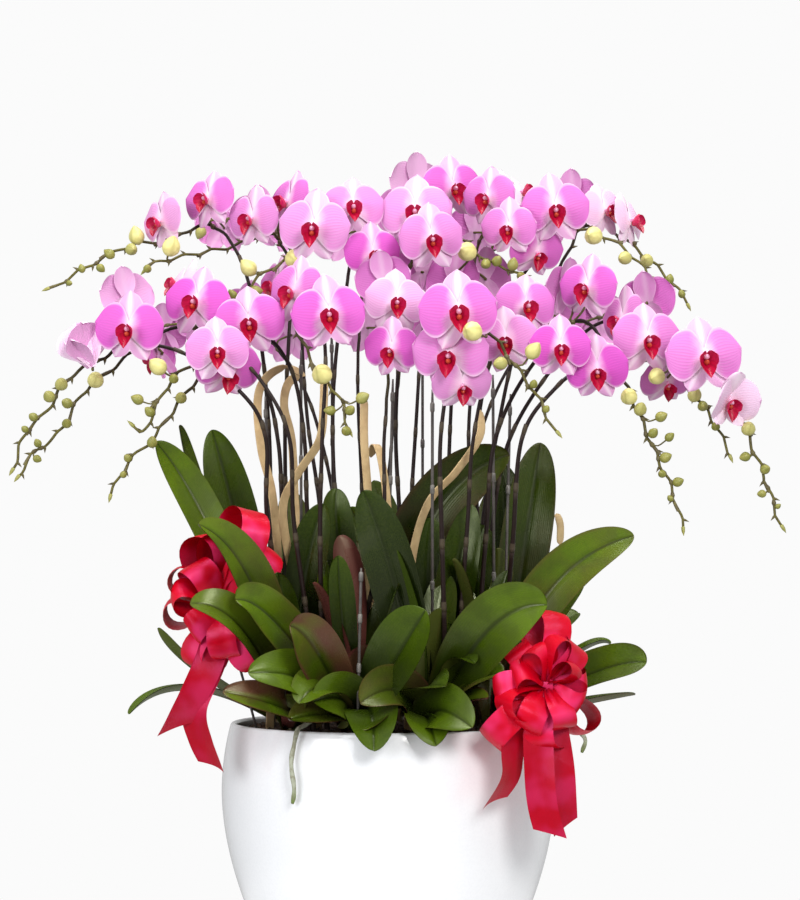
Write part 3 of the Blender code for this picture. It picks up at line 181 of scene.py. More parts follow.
# Each spike: the stem's route from its foot, then its open flowers, half-open flowers and buds, each of which
# starts with its place. A flower goes on with its azimuth, where 0 looks to the front and positive turns to
# the right, its elevation and its size. A half-open one ends with how far it is open. A bud ends with its
# length.
SPIKES = (
    dict(
        route=[(-125, -10, 0), (-135, -10, 115), (-150, -20, 270), (-155, -25, 390), (-165, -30, 505),
               (-190, -20, 605), (-235, 20, 660), (-295, 15, 640), (-340, 0, 630), (-385, -10, 605),
               (-440, -15, 570)],
        flowers=[(-295, -20, 660, -45, 0, 0.82), (-235, -10, 690, -35, 10, 0.86)],
        buds=[(-330, 0, 645, 17), (-335, -10, 625, 14), (-365, -5, 620, 12), (-375, -10, 600, 10),
              (-400, -10, 600, 9), (-415, -15, 580, 7)],
    ),
    dict(
        route=[(-120, 30, 0), (-130, 30, 115), (-135, 20, 275), (-135, 10, 395), (-130, 0, 505),
               (-130, 20, 600), (-155, 35, 650), (-205, 35, 635), (-250, 0, 620), (-295, -30, 605),
               (-315, -35, 595)],
        flowers=[(-175, -40, 660, -35, 0, 0.86), (-130, -20, 685, -50, 10, 0.88),
                 (-143, -30, 574, -50, 5, 0.85)],
        buds=[(-280, -40, 625, 19), (-310, -45, 595, 10)],
    ),
    dict(
        route=[(-45, -10, 0), (-45, -40, 120), (-65, -60, 270), (-70, -65, 390), (-65, -65, 500),
               (-50, -50, 605), (-60, -40, 650), (-90, -40, 635), (-125, -45, 610), (-170, -50, 580),
               (-205, -55, 535)],
        flowers=[(-95, -85, 640, -8, 0, 1), (-45, -60, 670, 5, 12, 0.9), (-20, -70, 610, 15, -5, 0.8)],
        buds=[(-120, -60, 605, 20), (-180, -55, 595, 17), (-170, -50, 565, 13), (-200, -55, 560, 11)],
    ),
    dict(
        route=[(30, -10, 0), (20, -20, 120), (15, -30, 270), (10, -35, 390), (15, -40, 505), (30, -30, 605),
               (50, -20, 655), (90, -25, 640), (130, -40, 605), (165, -45, 590), (190, -50, 565)],
        flowers=[(35, -55, 665, -5, 8, 1), (55, -95, 625, 8, -4, 0.92), (85, 0, 585, 150, -10, 0.88)],
        buds=[(100, -60, 615, 20), (125, -50, 600, 12), (140, -45, 605, 12), (160, -50, 600, 13),
              (170, -50, 585, 10)],
    ),
    dict(
        route=[(40, 15, 0), (30, 20, 115), (30, 30, 275), (35, 40, 395), (45, 50, 515), (60, 60, 620),
               (70, 60, 695), (75, 70, 725)],
        flowers=[(85, 20, 710, 20, 0, 0.9), (35, 50, 720, -150, 0, 0.85), (45, 30, 600, 170, 0, 0.9)],
    ),
    dict(
        route=[(75, 0, 0), (65, -10, 115), (75, 0, 270), (80, 0, 395), (90, 0, 505), (110, 10, 610),
               (135, 20, 675), (165, 40, 690), (175, 50, 700)],
        flowers=[(130, -20, 690, -30, 0, 0.86), (155, -50, 645, -15, -5, 0.78), (175, 55, 710, 60, 30, 0.8),
                 (125, 20, 590, -150, 5, 0.88)],
    ),
    dict(
        route=[(120, 0, 0), (125, 0, 115), (115, -10, 270), (115, -20, 390), (140, -20, 505),
               (175, -10, 590), (210, 0, 650), (250, -10, 650), (290, -20, 635), (325, -30, 605),
               (340, -35, 580)],
        flowers=[(215, -45, 670, 2, 0, 0.96), (192, -30, 618, 20, -25, 0.8)],
        buds=[(265, -30, 640, 19), (305, -35, 610, 15), (340, -40, 580, 11)],
    ),
    dict(
        route=[(112, 45, 0), (118, 48, 115), (125, 48, 275), (145, 50, 395), (175, 50, 515), (225, 50, 605),
               (260, 50, 665), (300, 45, 655), (330, 30, 630), (365, 20, 595), (395, 10, 555)],
        flowers=[(285, 20, 680, 35, 10, 0.8), (318, 25, 668, 58, 12, 0.82), (245, 60, 700, 150, 0, 0.85)],
        buds=[(340, 20, 615, 15), (370, 20, 590, 11), (385, 15, 570, 9)],
    ),
    dict(
        route=[(-120, -70, 0), (-128, -75, 120), (-150, -130, 270), (-150, -150, 370), (-180, -160, 425),
               (-255, -155, 475), (-320, -150, 485), (-350, -150, 470), (-390, -155, 445), (-420, -160, 400),
               (-445, -160, 375), (-460, -165, 330)],
        flowers=[(-315, -190, 500, -10, 0, 0.92), (-325, -140, 545, -150, -10, 0.8)],
        half_open=[(-364, -165, 458, -60, 70, 1.35, 0.02)],
        buds=[(-400, -170, 435, 14), (-415, -170, 420, 13), (-435, -165, 395, 10), (-445, -165, 380, 8)],
    ),
    dict(
        route=[(-125, -22, 0), (-125, -30, 120), (-135, -45, 270), (-140, -50, 370), (-160, -55, 445),
               (-210, -85, 500), (-265, -90, 515), (-310, -100, 490), (-345, -110, 460), (-380, -115, 430),
               (-410, -120, 380), (-440, -125, 355), (-460, -130, 325)],
        flowers=[(-240, -125, 540, -15, 10, 0.94), (-290, -88, 480, -110, -10, 0.86),
                 (-265, -68, 570, -60, 20, 0.8)],
        buds=[(-365, -120, 445, 17), (-400, -125, 415, 12), (-400, -125, 390, 11), (-435, -130, 365, 9),
              (-435, -130, 345, 9)],
    ),
    dict(
        route=[(-92, -125, 0), (-97, -135, 120), (-115, -155, 270), (-120, -175, 365), (-145, -180, 425),
               (-185, -175, 470), (-230, -170, 465), (-265, -175, 440), (-285, -180, 405), (-300, -180, 375),
               (-310, -180, 385)],
        flowers=[(-205, -215, 470, 5, 0, 0.84), (-195, -185, 450, 20, -25, 0.9)],
        buds=[(-280, -190, 455, 17), (-260, -190, 440, 11), (-305, -185, 415, 12), (-290, -185, 400, 11)],
    ),
    dict(
        route=[(-60, -40, 0), (-85, -70, 120), (-100, -100, 270), (-105, -115, 370), (-120, -120, 455),
               (-155, -130, 500), (-200, -135, 475), (-240, -140, 440), (-270, -145, 400), (-290, -150, 370),
               (-320, -150, 340), (-340, -155, 300)],
        flowers=[(-170, -165, 510, 0, 0, 0.94)],
        buds=[(-255, -150, 420, 13), (-290, -155, 365, 12), (-320, -155, 345, 9), (-325, -155, 325, 8)],
    ),
    dict(
        route=[(-75, -110, 0), (-80, -140, 120), (-83, -165, 270), (-80, -180, 365), (-75, -180, 450),
               (-80, -165, 500), (-95, -155, 525), (-112, -160, 505), (-95, -175, 465), (-72, -190, 435),
               (-55, -200, 410), (-45, -205, 375)],
        flowers=[(-70, -210, 515, 0, 3, 0.98), (-115, -155, 550, -35, 5, 0.9)],
        buds=[(-80, -200, 445, 20), (-30, -210, 415, 13), (-45, -210, 400, 11), (-70, -200, 400, 11),
              (-50, -210, 375, 11)],
    ),
    dict(
        route=[(-30, -110, 0), (-30, -120, 120), (-5, -130, 270), (-5, -130, 370), (0, -135, 455),
               (0, -135, 505), (5, -135, 545)],
        flowers=[(10, -165, 535, 10, 5, 0.85), (5, -185, 475, -20, -8, 0.78), (-5, -110, 570, 170, 0, 0.8)],
    ),
    dict(
        route=[(75, -115, 0), (70, -150, 120), (65, -180, 270), (65, -190, 365), (75, -195, 450),
               (85, -185, 510), (105, -185, 515), (135, -210, 480), (160, -220, 445), (180, -225, 415),
               (200, -230, 370)],
        flowers=[(85, -238, 515, 0, 3, 1.05), (75, -222, 465, -12, -5, 1), (90, -215, 430, 10, -25, 0.8)],
        buds=[(100, -260, 490, 19), (135, -225, 455, 14), (175, -230, 470, 16), (175, -230, 430, 9),
              (190, -230, 400, 8)],
    ),
    dict(
        route=[(105, -75, 0), (90, -100, 120), (100, -120, 270), (105, -130, 370), (125, -140, 455),
               (155, -145, 510), (195, -150, 515), (210, -160, 485)],
        flowers=[(170, -170, 530, 15, 5, 0.86), (145, -190, 485, -12, 0, 0.84),
                 (210, -200, 475, 0, 0, 0.82)],
    ),
    dict(
        route=[(120, -65, 0), (115, -70, 120), (125, -80, 270), (135, -90, 370), (170, -100, 450),
               (225, -100, 515), (255, -110, 515), (280, -140, 465), (300, -155, 425), (315, -160, 385),
               (330, -165, 345), (345, -165, 310), (360, -170, 260)],
        flowers=[(250, -115, 560, -30, 0, 0.86), (255, -185, 450, 0, -12, 0.86),
                 (225, -70, 565, -140, 10, 0.8)],
        buds=[(295, -170, 420, 17), (310, -165, 405, 14), (335, -170, 395, 12), (345, -170, 370, 10),
              (325, -170, 375, 11), (340, -170, 345, 12), (335, -170, 325, 9), (355, -170, 315, 11),
              (345, -170, 295, 7)],
    ),
    dict(
        route=[(145, -10, 0), (125, -20, 120), (135, -30, 270), (155, -45, 375), (205, -60, 460),
               (265, -70, 520), (320, -90, 520), (345, -120, 480), (370, -130, 435), (395, -135, 405),
               (425, -140, 350)],
        flowers=[(320, -155, 490, 10, 0, 0.94), (295, -115, 520, -55, 0, 0.85),
                 (350, -103, 443, 15, -30, 0.75), (330, -80, 545, 150, 0, 0.85)],
        buds=[(330, -160, 445, 17), (380, -140, 425, 15), (390, -140, 410, 12), (405, -145, 385, 10)],
    ),
    dict(
        route=[(145, -65, 0), (150, -82, 150), (156, -125, 250), (165, -150, 370), (205, -155, 430),
               (250, -130, 460), (320, -125, 468), (375, -150, 470), (420, -165, 430), (435, -170, 385),
               (445, -175, 355), (460, -175, 320), (480, -180, 260)],
        flowers=[(385, -195, 465, 5, 3, 1.02)],
        half_open=[(414, -185, 414, 25, -18, 1.1, 0.52)],
        buds=[(440, -180, 380, 15), (435, -180, 345, 11), (460, -180, 330, 11), (455, -180, 300, 9),
              (475, -180, 285, 6)],
    ),
    dict(
        route=[(-80, 82, 0), (-90, 110, 250), (-110, 140, 400), (-120, 160, 520), (-130, 170, 620),
               (-160, 180, 680), (-210, 190, 700), (-260, 195, 690)],
        flowers=[(-130, 205, 690, 175, 0, 0.95), (-185, 220, 700, 185, 0, 0.95),
                 (-235, 225, 690, 195, 0, 0.9)],
        buds=[(-265, 200, 680, 14)],
    ),
    dict(
        route=[(105, 80, 0), (110, 118, 250), (110, 145, 400), (120, 160, 520), (130, 170, 620),
               (160, 180, 680), (210, 190, 700), (250, 195, 690)],
        flowers=[(120, 205, 680, 182, 0, 0.95), (170, 220, 710, 178, 0, 0.95), (225, 225, 700, 168, 0, 0.9)],
        buds=[(255, 200, 680, 14)],
    ),
    dict(
        route=[(-55, 85, 0), (-45, 130, 120), (-60, 175, 200), (-85, 200, 350), (-120, 210, 460),
               (-170, 220, 530), (-230, 230, 560), (-290, 230, 560), (-340, 220, 540)],
        flowers=[(-140, 250, 540, 178, 0, 0.95), (-200, 265, 570, 182, 0, 1), (-265, 265, 565, 188, 0, 0.95),
                 (-325, 255, 545, 205, 0, 0.85)],
        buds=[(-350, 225, 530, 14)],
    ),
    dict(
        route=[(75, 90, 0), (70, 120, 120), (100, 175, 200), (115, 195, 350), (150, 210, 460),
               (200, 220, 530), (270, 230, 560), (330, 230, 560), (390, 220, 530)],
        flowers=[(170, 250, 540, 180, 0, 0.95), (235, 265, 570, 178, 0, 1), (300, 265, 565, 172, 0, 0.95),
                 (365, 255, 550, 155, 0, 0.85)],
        buds=[(400, 225, 520, 14)],
    ),
    dict(
        route=[(-18, 100, 0), (-25, 130, 120), (-20, 165, 250), (0, 180, 350), (10, 200, 450),
               (20, 210, 530), (30, 210, 580)],
        flowers=[(-30, 245, 550, 185, 0, 0.95), (60, 245, 560, 175, 0, 0.95), (20, 240, 630, 180, 5, 0.9)],
    ),
    dict(
        route=[(-10, 60, 0), (-30, 90, 200), (-40, 100, 400), (-40, 110, 550), (-30, 120, 660),
               (-20, 125, 690)],
        flowers=[(-60, 155, 670, 190, 0, 0.95), (25, 155, 700, 172, 0, 0.95)],
    ),
)

# Flowers whose pink is listed and not left to chance: (spike, flower) to how deep it is
CHANCE_TONE = (0.66, 0.96)
PALE = {
    (1, 0): 0.6, (3, 1): 0.75, (4, 0): 0.7, (5, 1): 0.1, (6, 2): 0.15, (8, 0): 0.35, (8, 1): 0.3, (9, 1): 0.3,
    (10, 1): 1.0, (10, 2): 0.2, (11, 1): 0.9, (12, 0): 0.9, (14, 0): 0.55, (16, 2): 1.0, (17, 1): 1.0,
}

# One flower, one unit wide. Each petal and sepal: angle of its line, length, breadth, offset towards the
# front, how far its sides and its tip bend back, breadth at its claw, and where it is broadest. The throat
# and the column are profiles of (along, radius).
PETALS = (
    (14, 0.51, 0.66, 0.030, 0.10, 0.05, 0.20, 0.52),
    (166, 0.51, 0.66, 0.030, 0.10, 0.05, 0.20, 0.52),
)
SEPALS = (
    (90, 0.54, 0.38, -0.015, 0.08, 0.06, 0.45, 0.52),
    (-58, 0.46, 0.29, -0.020, 0.06, 0.08, 0.45, 0.48),
    (-122, 0.46, 0.29, -0.020, 0.06, 0.08, 0.45, 0.48),
)
THROAT = ((0.0, 0.0), (0.01, 0.030), (0.06, 0.034), (0.10, 0.022), (0.110, 0.0))
COLUMN = ((0.0, 0.0), (0.0, 0.032), (0.07, 0.033), (0.11, 0.034), (0.135, 0.026), (0.148, 0.0))
LIP_PLACE = np.array((0.0, -0.060, 0.035))

# A half-open flower is smaller and paler, its petals close further than its sepals, and one that is hardly
# open hides its lip. A closed blade stands up by the angle CLOSED.
HALF_OPEN_SIZE = 0.78
HALF_OPEN_TONE = 0.25
PETALS_CLOSE = 0.2
LIP_SHOWS = 0.2
CLOSED = math.radians(72)

# The end of a spike swings from side to side where its flowers and buds leave it.
STEM_STEP = 0.005
SPRAY_STEP = 0.044
SPRAY_SWING = 0.0055
JOINT_LENGTH = 0.004
FLOWER_STALK = 0.0014
BUD_STALK = 0.0009
BUD_BEAK = 0.1

# Each stake: its place on the bark and the place of its top. Its clips are at shares of its length.
STAKES = (
    ((-37, -187), (-32, -190, 210)), ((-145, -37), (-158, -43, 430)), ((-110, -60), (-110, -90, 485)),
    ((-5, -62), (6, -70, 450)), ((55, -110), (55, -150, 430)), ((135, -50), (133, -75, 455)),
    ((145, -35), (158, -20, 435)), ((45, 50), (45, 60, 525)), ((-70, 20), (-75, 20, 525)),
)
CLIP_SHARES = (0.45, 0.72, 0.95)

# Curled strips of cane, each from its foot on the bark
STRIPS = (
    [(-150, -60, 0), (-145, -60, 120), (-140, -65, 220), (-147, -75, 305), (-160, -85, 360),
     (-165, -85, 420), (-155, -80, 450), (-130, -70, 465), (-105, -60, 455)],
    [(-105, -30, 0), (-110, -30, 120), (-115, -30, 220), (-120, -30, 295), (-125, -20, 375),
     (-135, -20, 420), (-130, -10, 450), (-115, 0, 460)],
    [(-88, -55, 0), (-100, -72, 120), (-125, -100, 230), (-130, -120, 290), (-110, -125, 330),
     (-85, -120, 370), (-80, -120, 420), (-80, -120, 445)],
    [(-20, -95, 0), (-20, -95, 120), (-25, -95, 220), (-25, -95, 295), (-30, -95, 370), (-30, -95, 425)],
    [(0, -90, 0), (0, -90, 170), (0, -90, 270), (-5, -90, 325), (-12, -82, 360), (-18, -72, 365),
     (-22, -62, 350)],
    [(25, -100, 0), (25, -100, 120), (30, -110, 220), (50, -110, 290), (85, -110, 330), (115, -105, 375),
     (115, -100, 410)],
    [(150, 95, 0), (168, 100, 100), (200, 78, 200), (213, 65, 270), (222, 62, 280), (228, 65, 268),
     (228, 70, 240)],
)
STRIP_ACROSS = np.array((0.75, 0.65, 0.0))
CANE_THICKNESS = 0.0018

# Bows: the knot, the foot of the wire pick that holds it, the far end of each loop, and each hanging end
BOWS = {
    "left": (
        (-205, -140, 160),
        (-160, -80),
        [(-172, -140, 283), (-228, -145, 252), (-266, -140, 205), (-276, -137, 155), (-232, -145, 85),
         (-156, -148, 92), (-160, -140, 150), (-146, -135, 235)],
        [[(-215, -160, 105), (-232, -166, 65), (-250, -163, 33), (-268, -155, 2)],
         [(-215, -150, 95), (-235, -155, 40), (-228, -150, 0), (-210, -145, -42)]],
    ),
    "right": (
        (190, -205, 70),
        (145, -85),
        [(192, -185, 158), (225, -195, 120), (240, -190, 70), (245, -195, 15), (190, -215, -6),
         (122, -212, 2), (128, -215, 60), (152, -200, 115)],
        [[(175, -210, 50), (150, -215, 0), (145, -218, -40), (118, -218, -80)],
         [(180, -216, 40), (180, -226, -20), (184, -226, -70), (196, -222, -114)],
         [(196, -210, 35), (204, -216, -20), (208, -216, -65), (212, -212, -106)]],
    ),
}

# How far each loop is turned about its own length, in degrees, and each hanging end's twist in degrees and
# the slant of its cut
BOW_TWISTS = {"left": (15, 40, 85, 75, 35, 10, -10, 20), "right": (20, 30, 10, 65, 15, -5, 10, -20)}
TAIL_TURNS = {"left": ((-25, 30), (55, -22)), "right": ((-60, 28), (18, -20), (-22, 16))}
TAIL_ACROSS = np.array((1.0, 0.1, 0.0))
LOOP_POINTS = 30
RIBBON_COLUMNS = 11
KNOT_RADIUS = 0.009
KNOT_WIDTH = 0.016
PICK_RADIUS = 0.0016

# Lights: name, place, what it points at, diameter, power and colour
LIGHTS = (
    ("key_light", (1.1, -2.9, 2.0), (0.0, 0.0, 0.55), 1.1, 58, (1.0, 0.99, 0.97)),
    ("fill_light", (-1.9, -2.4, 1.2), (0.0, 0.0, 0.60), 1.6, 38, (0.97, 0.98, 1.0)),
    ("top_light", (0.1, -0.5, 3.1), (0.0, 0.0, 0.60), 1.4, 48, (1.0, 1.0, 0.98)),
)
WORLD_LEVEL = 0.55
FLOOR_RADIUS = 9.0
FLOOR_WHITE = 0.965
FLOOR_LIGHT = 1.05
FLOOR_GLOW = 0.46
SHADOW_DEPTH = 0.45
SHADOW_REACH = (0.72, 0.30)
CAMERA_PLACE = (0.015, -2.8, 0.552)
CAMERA_PITCH = 3.2
LENS = 96.92


# Arrays and meshes

def smoothstep(low, high, value):
    share = np.clip((value - low) / (high - low), 0, 1)
    return share * share * (3 - 2 * share)


def unit(vectors):
    return vectors / np.maximum(np.linalg.norm(vectors, axis=-1, keepdims=True), 1e-12)


def heading(angle):
    """The level direction at an angle from +X, in radians."""
    return np.array((math.cos(angle), math.sin(angle), 0.0))


def turned(first, second, angle):
    """Two directions square to each other, turned in the plane that they span."""
    cos, sin = np.cos(angle), np.sin(angle)
    return first * cos + second * sin, second * cos - first * sin


def round_turn(sides):
    """The angles of even sides round a full turn."""
    return np.linspace(0, 2 * math.pi, sides, endpoint=False)


def ended(values):
    """The values, with the first and the last of them given twice."""
    return np.concatenate([values[:1], values, values[-1:]])


def square_to(ways, wanted):
    """At each point of a path, the direction square to the path that is nearest to the one wanted."""
    return unit(wanted - ways * (ways @ wanted)[:, None])


class Shape:
    """The surfaces of one piece. Each point has a place on its surface and three painted values."""

    def __init__(self):
        self.points, self.faces, self.places, self.paint, self.slots = [], [], [], [], []
        self.count = 0

    def grid(self, points, paint=(0, 0, 0), slot=0, closed=False):
        """Adds a surface of rows and columns of points; a closed one joins its last column to its first."""
        rows, columns = points.shape[:2]
        index = self.count + np.arange(rows * columns).reshape(rows, columns)
        self.count += rows * columns
        if closed:
            index = np.hstack([index, index[:, :1]])
        place = np.stack(np.meshgrid(np.linspace(0, 1, index.shape[1]), np.linspace(0, 1, rows)), axis=-1)
        near, far = slice(None, -1), slice(1, None)
        corners = ((near, near), (near, far), (far, far), (far, near))
        self.faces.append(np.stack([index[corner] for corner in corners], axis=-1).reshape(-1, 4))
        self.places.append(np.stack([place[corner] for corner in corners], axis=2).reshape(-1, 2))
        self.points.append(points.reshape(-1, 3))
        self.paint.append(np.broadcast_to(paint, points.shape).reshape(-1, 3))
        self.slots.append(np.full(len(self.faces[-1]), slot))

    def tube(self, path, radii, paint=(0, 0, 0), slot=0, sides=8):
        """Adds a round stem along a path, closed at both ends."""
        _, side, other = frames(path)
        turn = round_turn(sides)[None, :, None]
        ring = np.cos(turn) * side[:, None] + np.sin(turn) * other[:, None]
        radii = np.pad(np.broadcast_to(radii, len(path)), 1)
        points = ended(path)[:, None] + radii[:, None, None] * ended(ring)
        self.grid(points, ended(np.broadcast_to(paint, (len(path), 3)))[:, None], slot, closed=True)

    def lathe(self, centre, direction, profile, paint=(0, 0, 0), slot=0, sides=12, ribs=0.0):
        """Adds a turned body: a profile of (along, radius) about a direction, with three shallow ribs."""
        _, side, other = frames(np.array([centre, centre + direction]), hint=UP)
        turn = round_turn(sides)
        ring = np.cos(turn)[:, None] * side[0] + np.sin(turn)[:, None] * other[0]
        ring = ring * (1 + ribs * np.cos(3 * turn))[:, None]
        along, radius = np.array(profile).T
        points = centre + along[:, None, None] * direction + radius[:, None, None] * ring
        self.grid(points, paint, slot, closed=True)

    def piece(self, name, materials, replaces=(), sharp=None):
        """Makes the piece, lets it ride on the CAD body and stands it for its CAD nodes."""
        mesh = bpy.data.meshes.new(name)
        mesh.from_pydata(np.vstack(self.points).tolist(), [], np.vstack(self.faces).tolist())
        surface = mesh.uv_layers.new(name="surface")
        surface.uv.foreach_set("vector", np.vstack(self.places).astype(np.float32).ravel())
        paint = mesh.attributes.new("paint", "FLOAT_VECTOR", "POINT")
        paint.data.foreach_set("vector", np.vstack(self.paint).astype(np.float32).ravel())
        mesh.polygons.foreach_set("material_index", np.concatenate(self.slots).astype(np.int32))
        for material in materials:
            mesh.materials.append(material)
        mesh.shade_smooth()
        if sharp is not None:
            mesh.set_sharp_from_angle(angle=math.radians(sharp))
        mesh.update()
        made = bpy.data.objects.new(name, mesh)
        bpy.context.scene.collection.objects.link(made)
        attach(made, "root")
        if replaces:
            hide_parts(*replaces)
        return made


def frames(path, hint=None):
    """The direction of a path at each point, and two square to it that turn as little as they can."""
    ways = unit(np.gradient(path, axis=0))
    side = hint
    if side is None:
        side = np.cross(ways[0], UP if abs(ways[0][2]) < 0.9 else FRONT)
    if np.linalg.norm(np.cross(side, ways[0])) < 1e-6:
        side = FRONT
    sides = []
    for way in ways:
        side = unit(side - way * (side @ way))
        sides.append(side)
    sides = np.array(sides)
    return ways, sides, np.cross(ways, sides)


def smooth_path(points, spacing):
    """A smooth curve through the points, as points about evenly spaced."""
    points = np.asarray(points, float)
    ends = np.vstack([2 * points[0] - points[1], points, 2 * points[-1] - points[-2]])
    curve = []
    for a, b, c, d in zip(ends, ends[1:], ends[2:], ends[3:]):
        t = np.linspace(0, 1, max(2, round(np.linalg.norm(c - b) / spacing)), endpoint=False)[:, None]
        curve.append(b + t * (c - a + t * (2 * a - 5 * b + 4 * c - d + t * (3 * b - a - 3 * c + d))) / 2)
    return np.vstack([*curve, points[-1:]])


def on_bark(place):
    """A place in the tables as a point of the model. A place with no height lies on the bark."""
    x, y, *height = place
    return np.array((x / 1000, y / 1000, BARK_TOP + sum(height) / 1000))


def pot_radius(height):
    """The pot's outer radius at a height, as numbers or arrays."""
    below = 1 - np.abs(1 - np.minimum(height, BELLY_HEIGHT) / BELLY_HEIGHT) ** SWELL_POWER
    above = np.maximum(height - BELLY_HEIGHT, 0) / (POT_HEIGHT - BELLY_HEIGHT)
    return FOOT_RADIUS + (BELLY_RADIUS - FOOT_RADIUS) * below - (BELLY_RADIUS - RIM_RADIUS) * above**2


# Flowers and spikes

def blade(length, breadth, forward, sides_back, tip_back, claw, broadest, rng, wave, rows=16, columns=15,
          point=0.5):
    """A petal or sepal that lies along +Y and faces +Z: points, with its claw at the origin."""
    u = np.sin(np.linspace(0, math.pi / 2, rows))[:, None]
    v = np.linspace(-1, 1, columns)[None, :]
    swell = claw + (1 - claw) * np.sin(np.clip(u / broadest, 0, 1) * math.pi / 2) ** 1.3
    taper = np.clip(1 - (np.clip(u - broadest, 0, 1) / (1 - broadest)) ** 2, 0, 1) ** point
    half = breadth / 2 * np.minimum(swell, taper)
    phase, count = rng.uniform(0, 6.28), rng.uniform(0.9, 1.6)
    ripple = wave * np.abs(v) ** 2.5 * u * np.sin(6.28 * count * u + phase + 1.5 * np.sign(v))
    z = forward * u - sides_back * v**2 * half / breadth - tip_back * u**2.2 + ripple
    y = length * u * (1 - 0.05 * v**2)
    return np.stack(np.broadcast_arrays(half * v, y, z), axis=-1)


def turned_blade(points, angle, opening, offset):
    """A blade laid along an angle in the flower's plane, and closed towards the front by its opening."""
    along = heading(math.radians(angle))
    across = np.cross(along, UP)
    rise, out = turned(along, UP, (1 - opening) * CLOSED)
    return points[..., :1] * across + points[..., 1:2] * rise + points[..., 2:] * out + along * offset


def flower_matrix(place, azimuth, elevation, roll):
    """Rows: across, upward and facing directions of a flower; and its centre."""
    a, e = math.radians(azimuth), math.radians(elevation)
    facing = np.array((math.sin(a) * math.cos(e), -math.cos(a) * math.cos(e), math.sin(e)))
    across = unit(np.cross(UP, facing))
    return np.array((*turned(across, np.cross(facing, across), math.radians(roll)), facing)), on_bark(place)


PETAL, LIP, STEM, BUD = range(4)


def add_flower(shape, place, azimuth, elevation, width, tone, rng, opening=1.0):
    """A flower: three sepals, two broad petals over them, a three-lobed lip and a column. Returns the place
    where its stalk ends, and its axes."""
    axes, centre = flower_matrix(place, azimuth, elevation, rng.uniform(-7, 7))
    heel = centre - axes[2] * 0.035 * width

    def put(points, paint, slot):
        shape.grid(centre + points @ axes * width, paint, slot)

    for angle, length, breadth, forward, *form in SEPALS:
        points = blade(length * rng.uniform(0.95, 1.05), breadth, 0.0, *form, rng, 0.015)
        points = turned_blade(points, angle + rng.uniform(-4, 4), opening, 0.0) + UP * forward
        put(points, (tone * 0.55, 1, rng.uniform(0, 1)), PETAL)
    closed = opening - PETALS_CLOSE * (1 - opening)
    for angle, length, breadth, forward, *form in PETALS:
        points = blade(length * rng.uniform(0.96, 1.04), breadth, 0.0, *form, rng, 0.022, 20, 21)
        points = turned_blade(points, angle + rng.uniform(-5, 5), closed, -0.02) + UP * forward
        put(points, (tone, 0, rng.uniform(0, 1)), PETAL)
    if opening < LIP_SHOWS:
        return heel, axes
    for side in (-1, 1):
        wing = blade(0.20, 0.20, 0.04, -0.10, -0.08, 0.5, 0.62, rng, 0.0, 9, 9)
        put(turned_blade(wing, 90 - side * 66, 0.60, 0.01) + LIP_PLACE, (0.55, 0, 0), LIP)
    tongue = blade(0.28, 0.20, 0.09, -0.16, 0.02, 0.55, 0.30, rng, 0.0, 14, 11, point=0.9)
    put(turned_blade(tongue, -90, 0.68, 0.0) + LIP_PLACE, (1.0, 1, 0), LIP)
    throat = centre + (LIP_PLACE - (0, 0.01, 0)) @ axes * width
    shape.lathe(throat, axes[2], np.array(THROAT) * width, (0.1, 0, 1), LIP, 8)
    middle = centre + np.array((0.0, 0.01, 0.01)) @ axes * width
    shape.lathe(middle, unit(axes[2] - 0.15 * axes[1]), np.array(COLUMN) * width, (0.0, 0, 0.6), LIP, 10)
    return heel, axes


def bud_profile(length, width):
    """A bud's profile: round at its stalk and drawn to a blunt point."""
    t = np.linspace(0, 1, 11)
    radius = np.sin(math.pi * t**0.85) ** 0.75 * (1 - BUD_BEAK * t)
    return np.stack([(t - 0.5) * length, radius * width / 2], axis=1)


def nearest(path, target):
    """The index of the point of a path that is nearest to a target."""
    return int(np.argmin(np.linalg.norm(path - target, axis=1)))


def add_stalk(shape, stem, radii, target, arrive, rng, radius, green):
    """The stalk of a flower or bud: from the stem, curving into the way it arrives at its target."""
    reach = np.linalg.norm(stem - target, axis=1).min()
    at = max(nearest(stem, target + UP * 0.004) - round(reach * 0.25 / STEM_STEP), 0)
    start, way = stem[at], unit(stem[min(at + 1, len(stem) - 1)] - stem[max(at - 1, 0)])
    span = np.linalg.norm(target - start)
    bend = start + (way * 0.35 + unit(target - start) * 0.45) * span * 0.6
    path = smooth_path([start, bend, target - arrive * span * 0.12, target], 0.004)
    shape.tube(path, np.linspace(1.0, 1.25, len(path)) * radius, (green, 0.4, rng.uniform(0, 1)), STEM, 6)
    thick = radii[at]
    collar = [(-0.003, 0.0), (-0.003, thick * 1.2), (0.001, thick * 1.7), (0.004, thick), (0.005, 0.0)]
    shape.lathe(start, way, collar, (green * 0.8, 1, 0.5), STEM, 8)


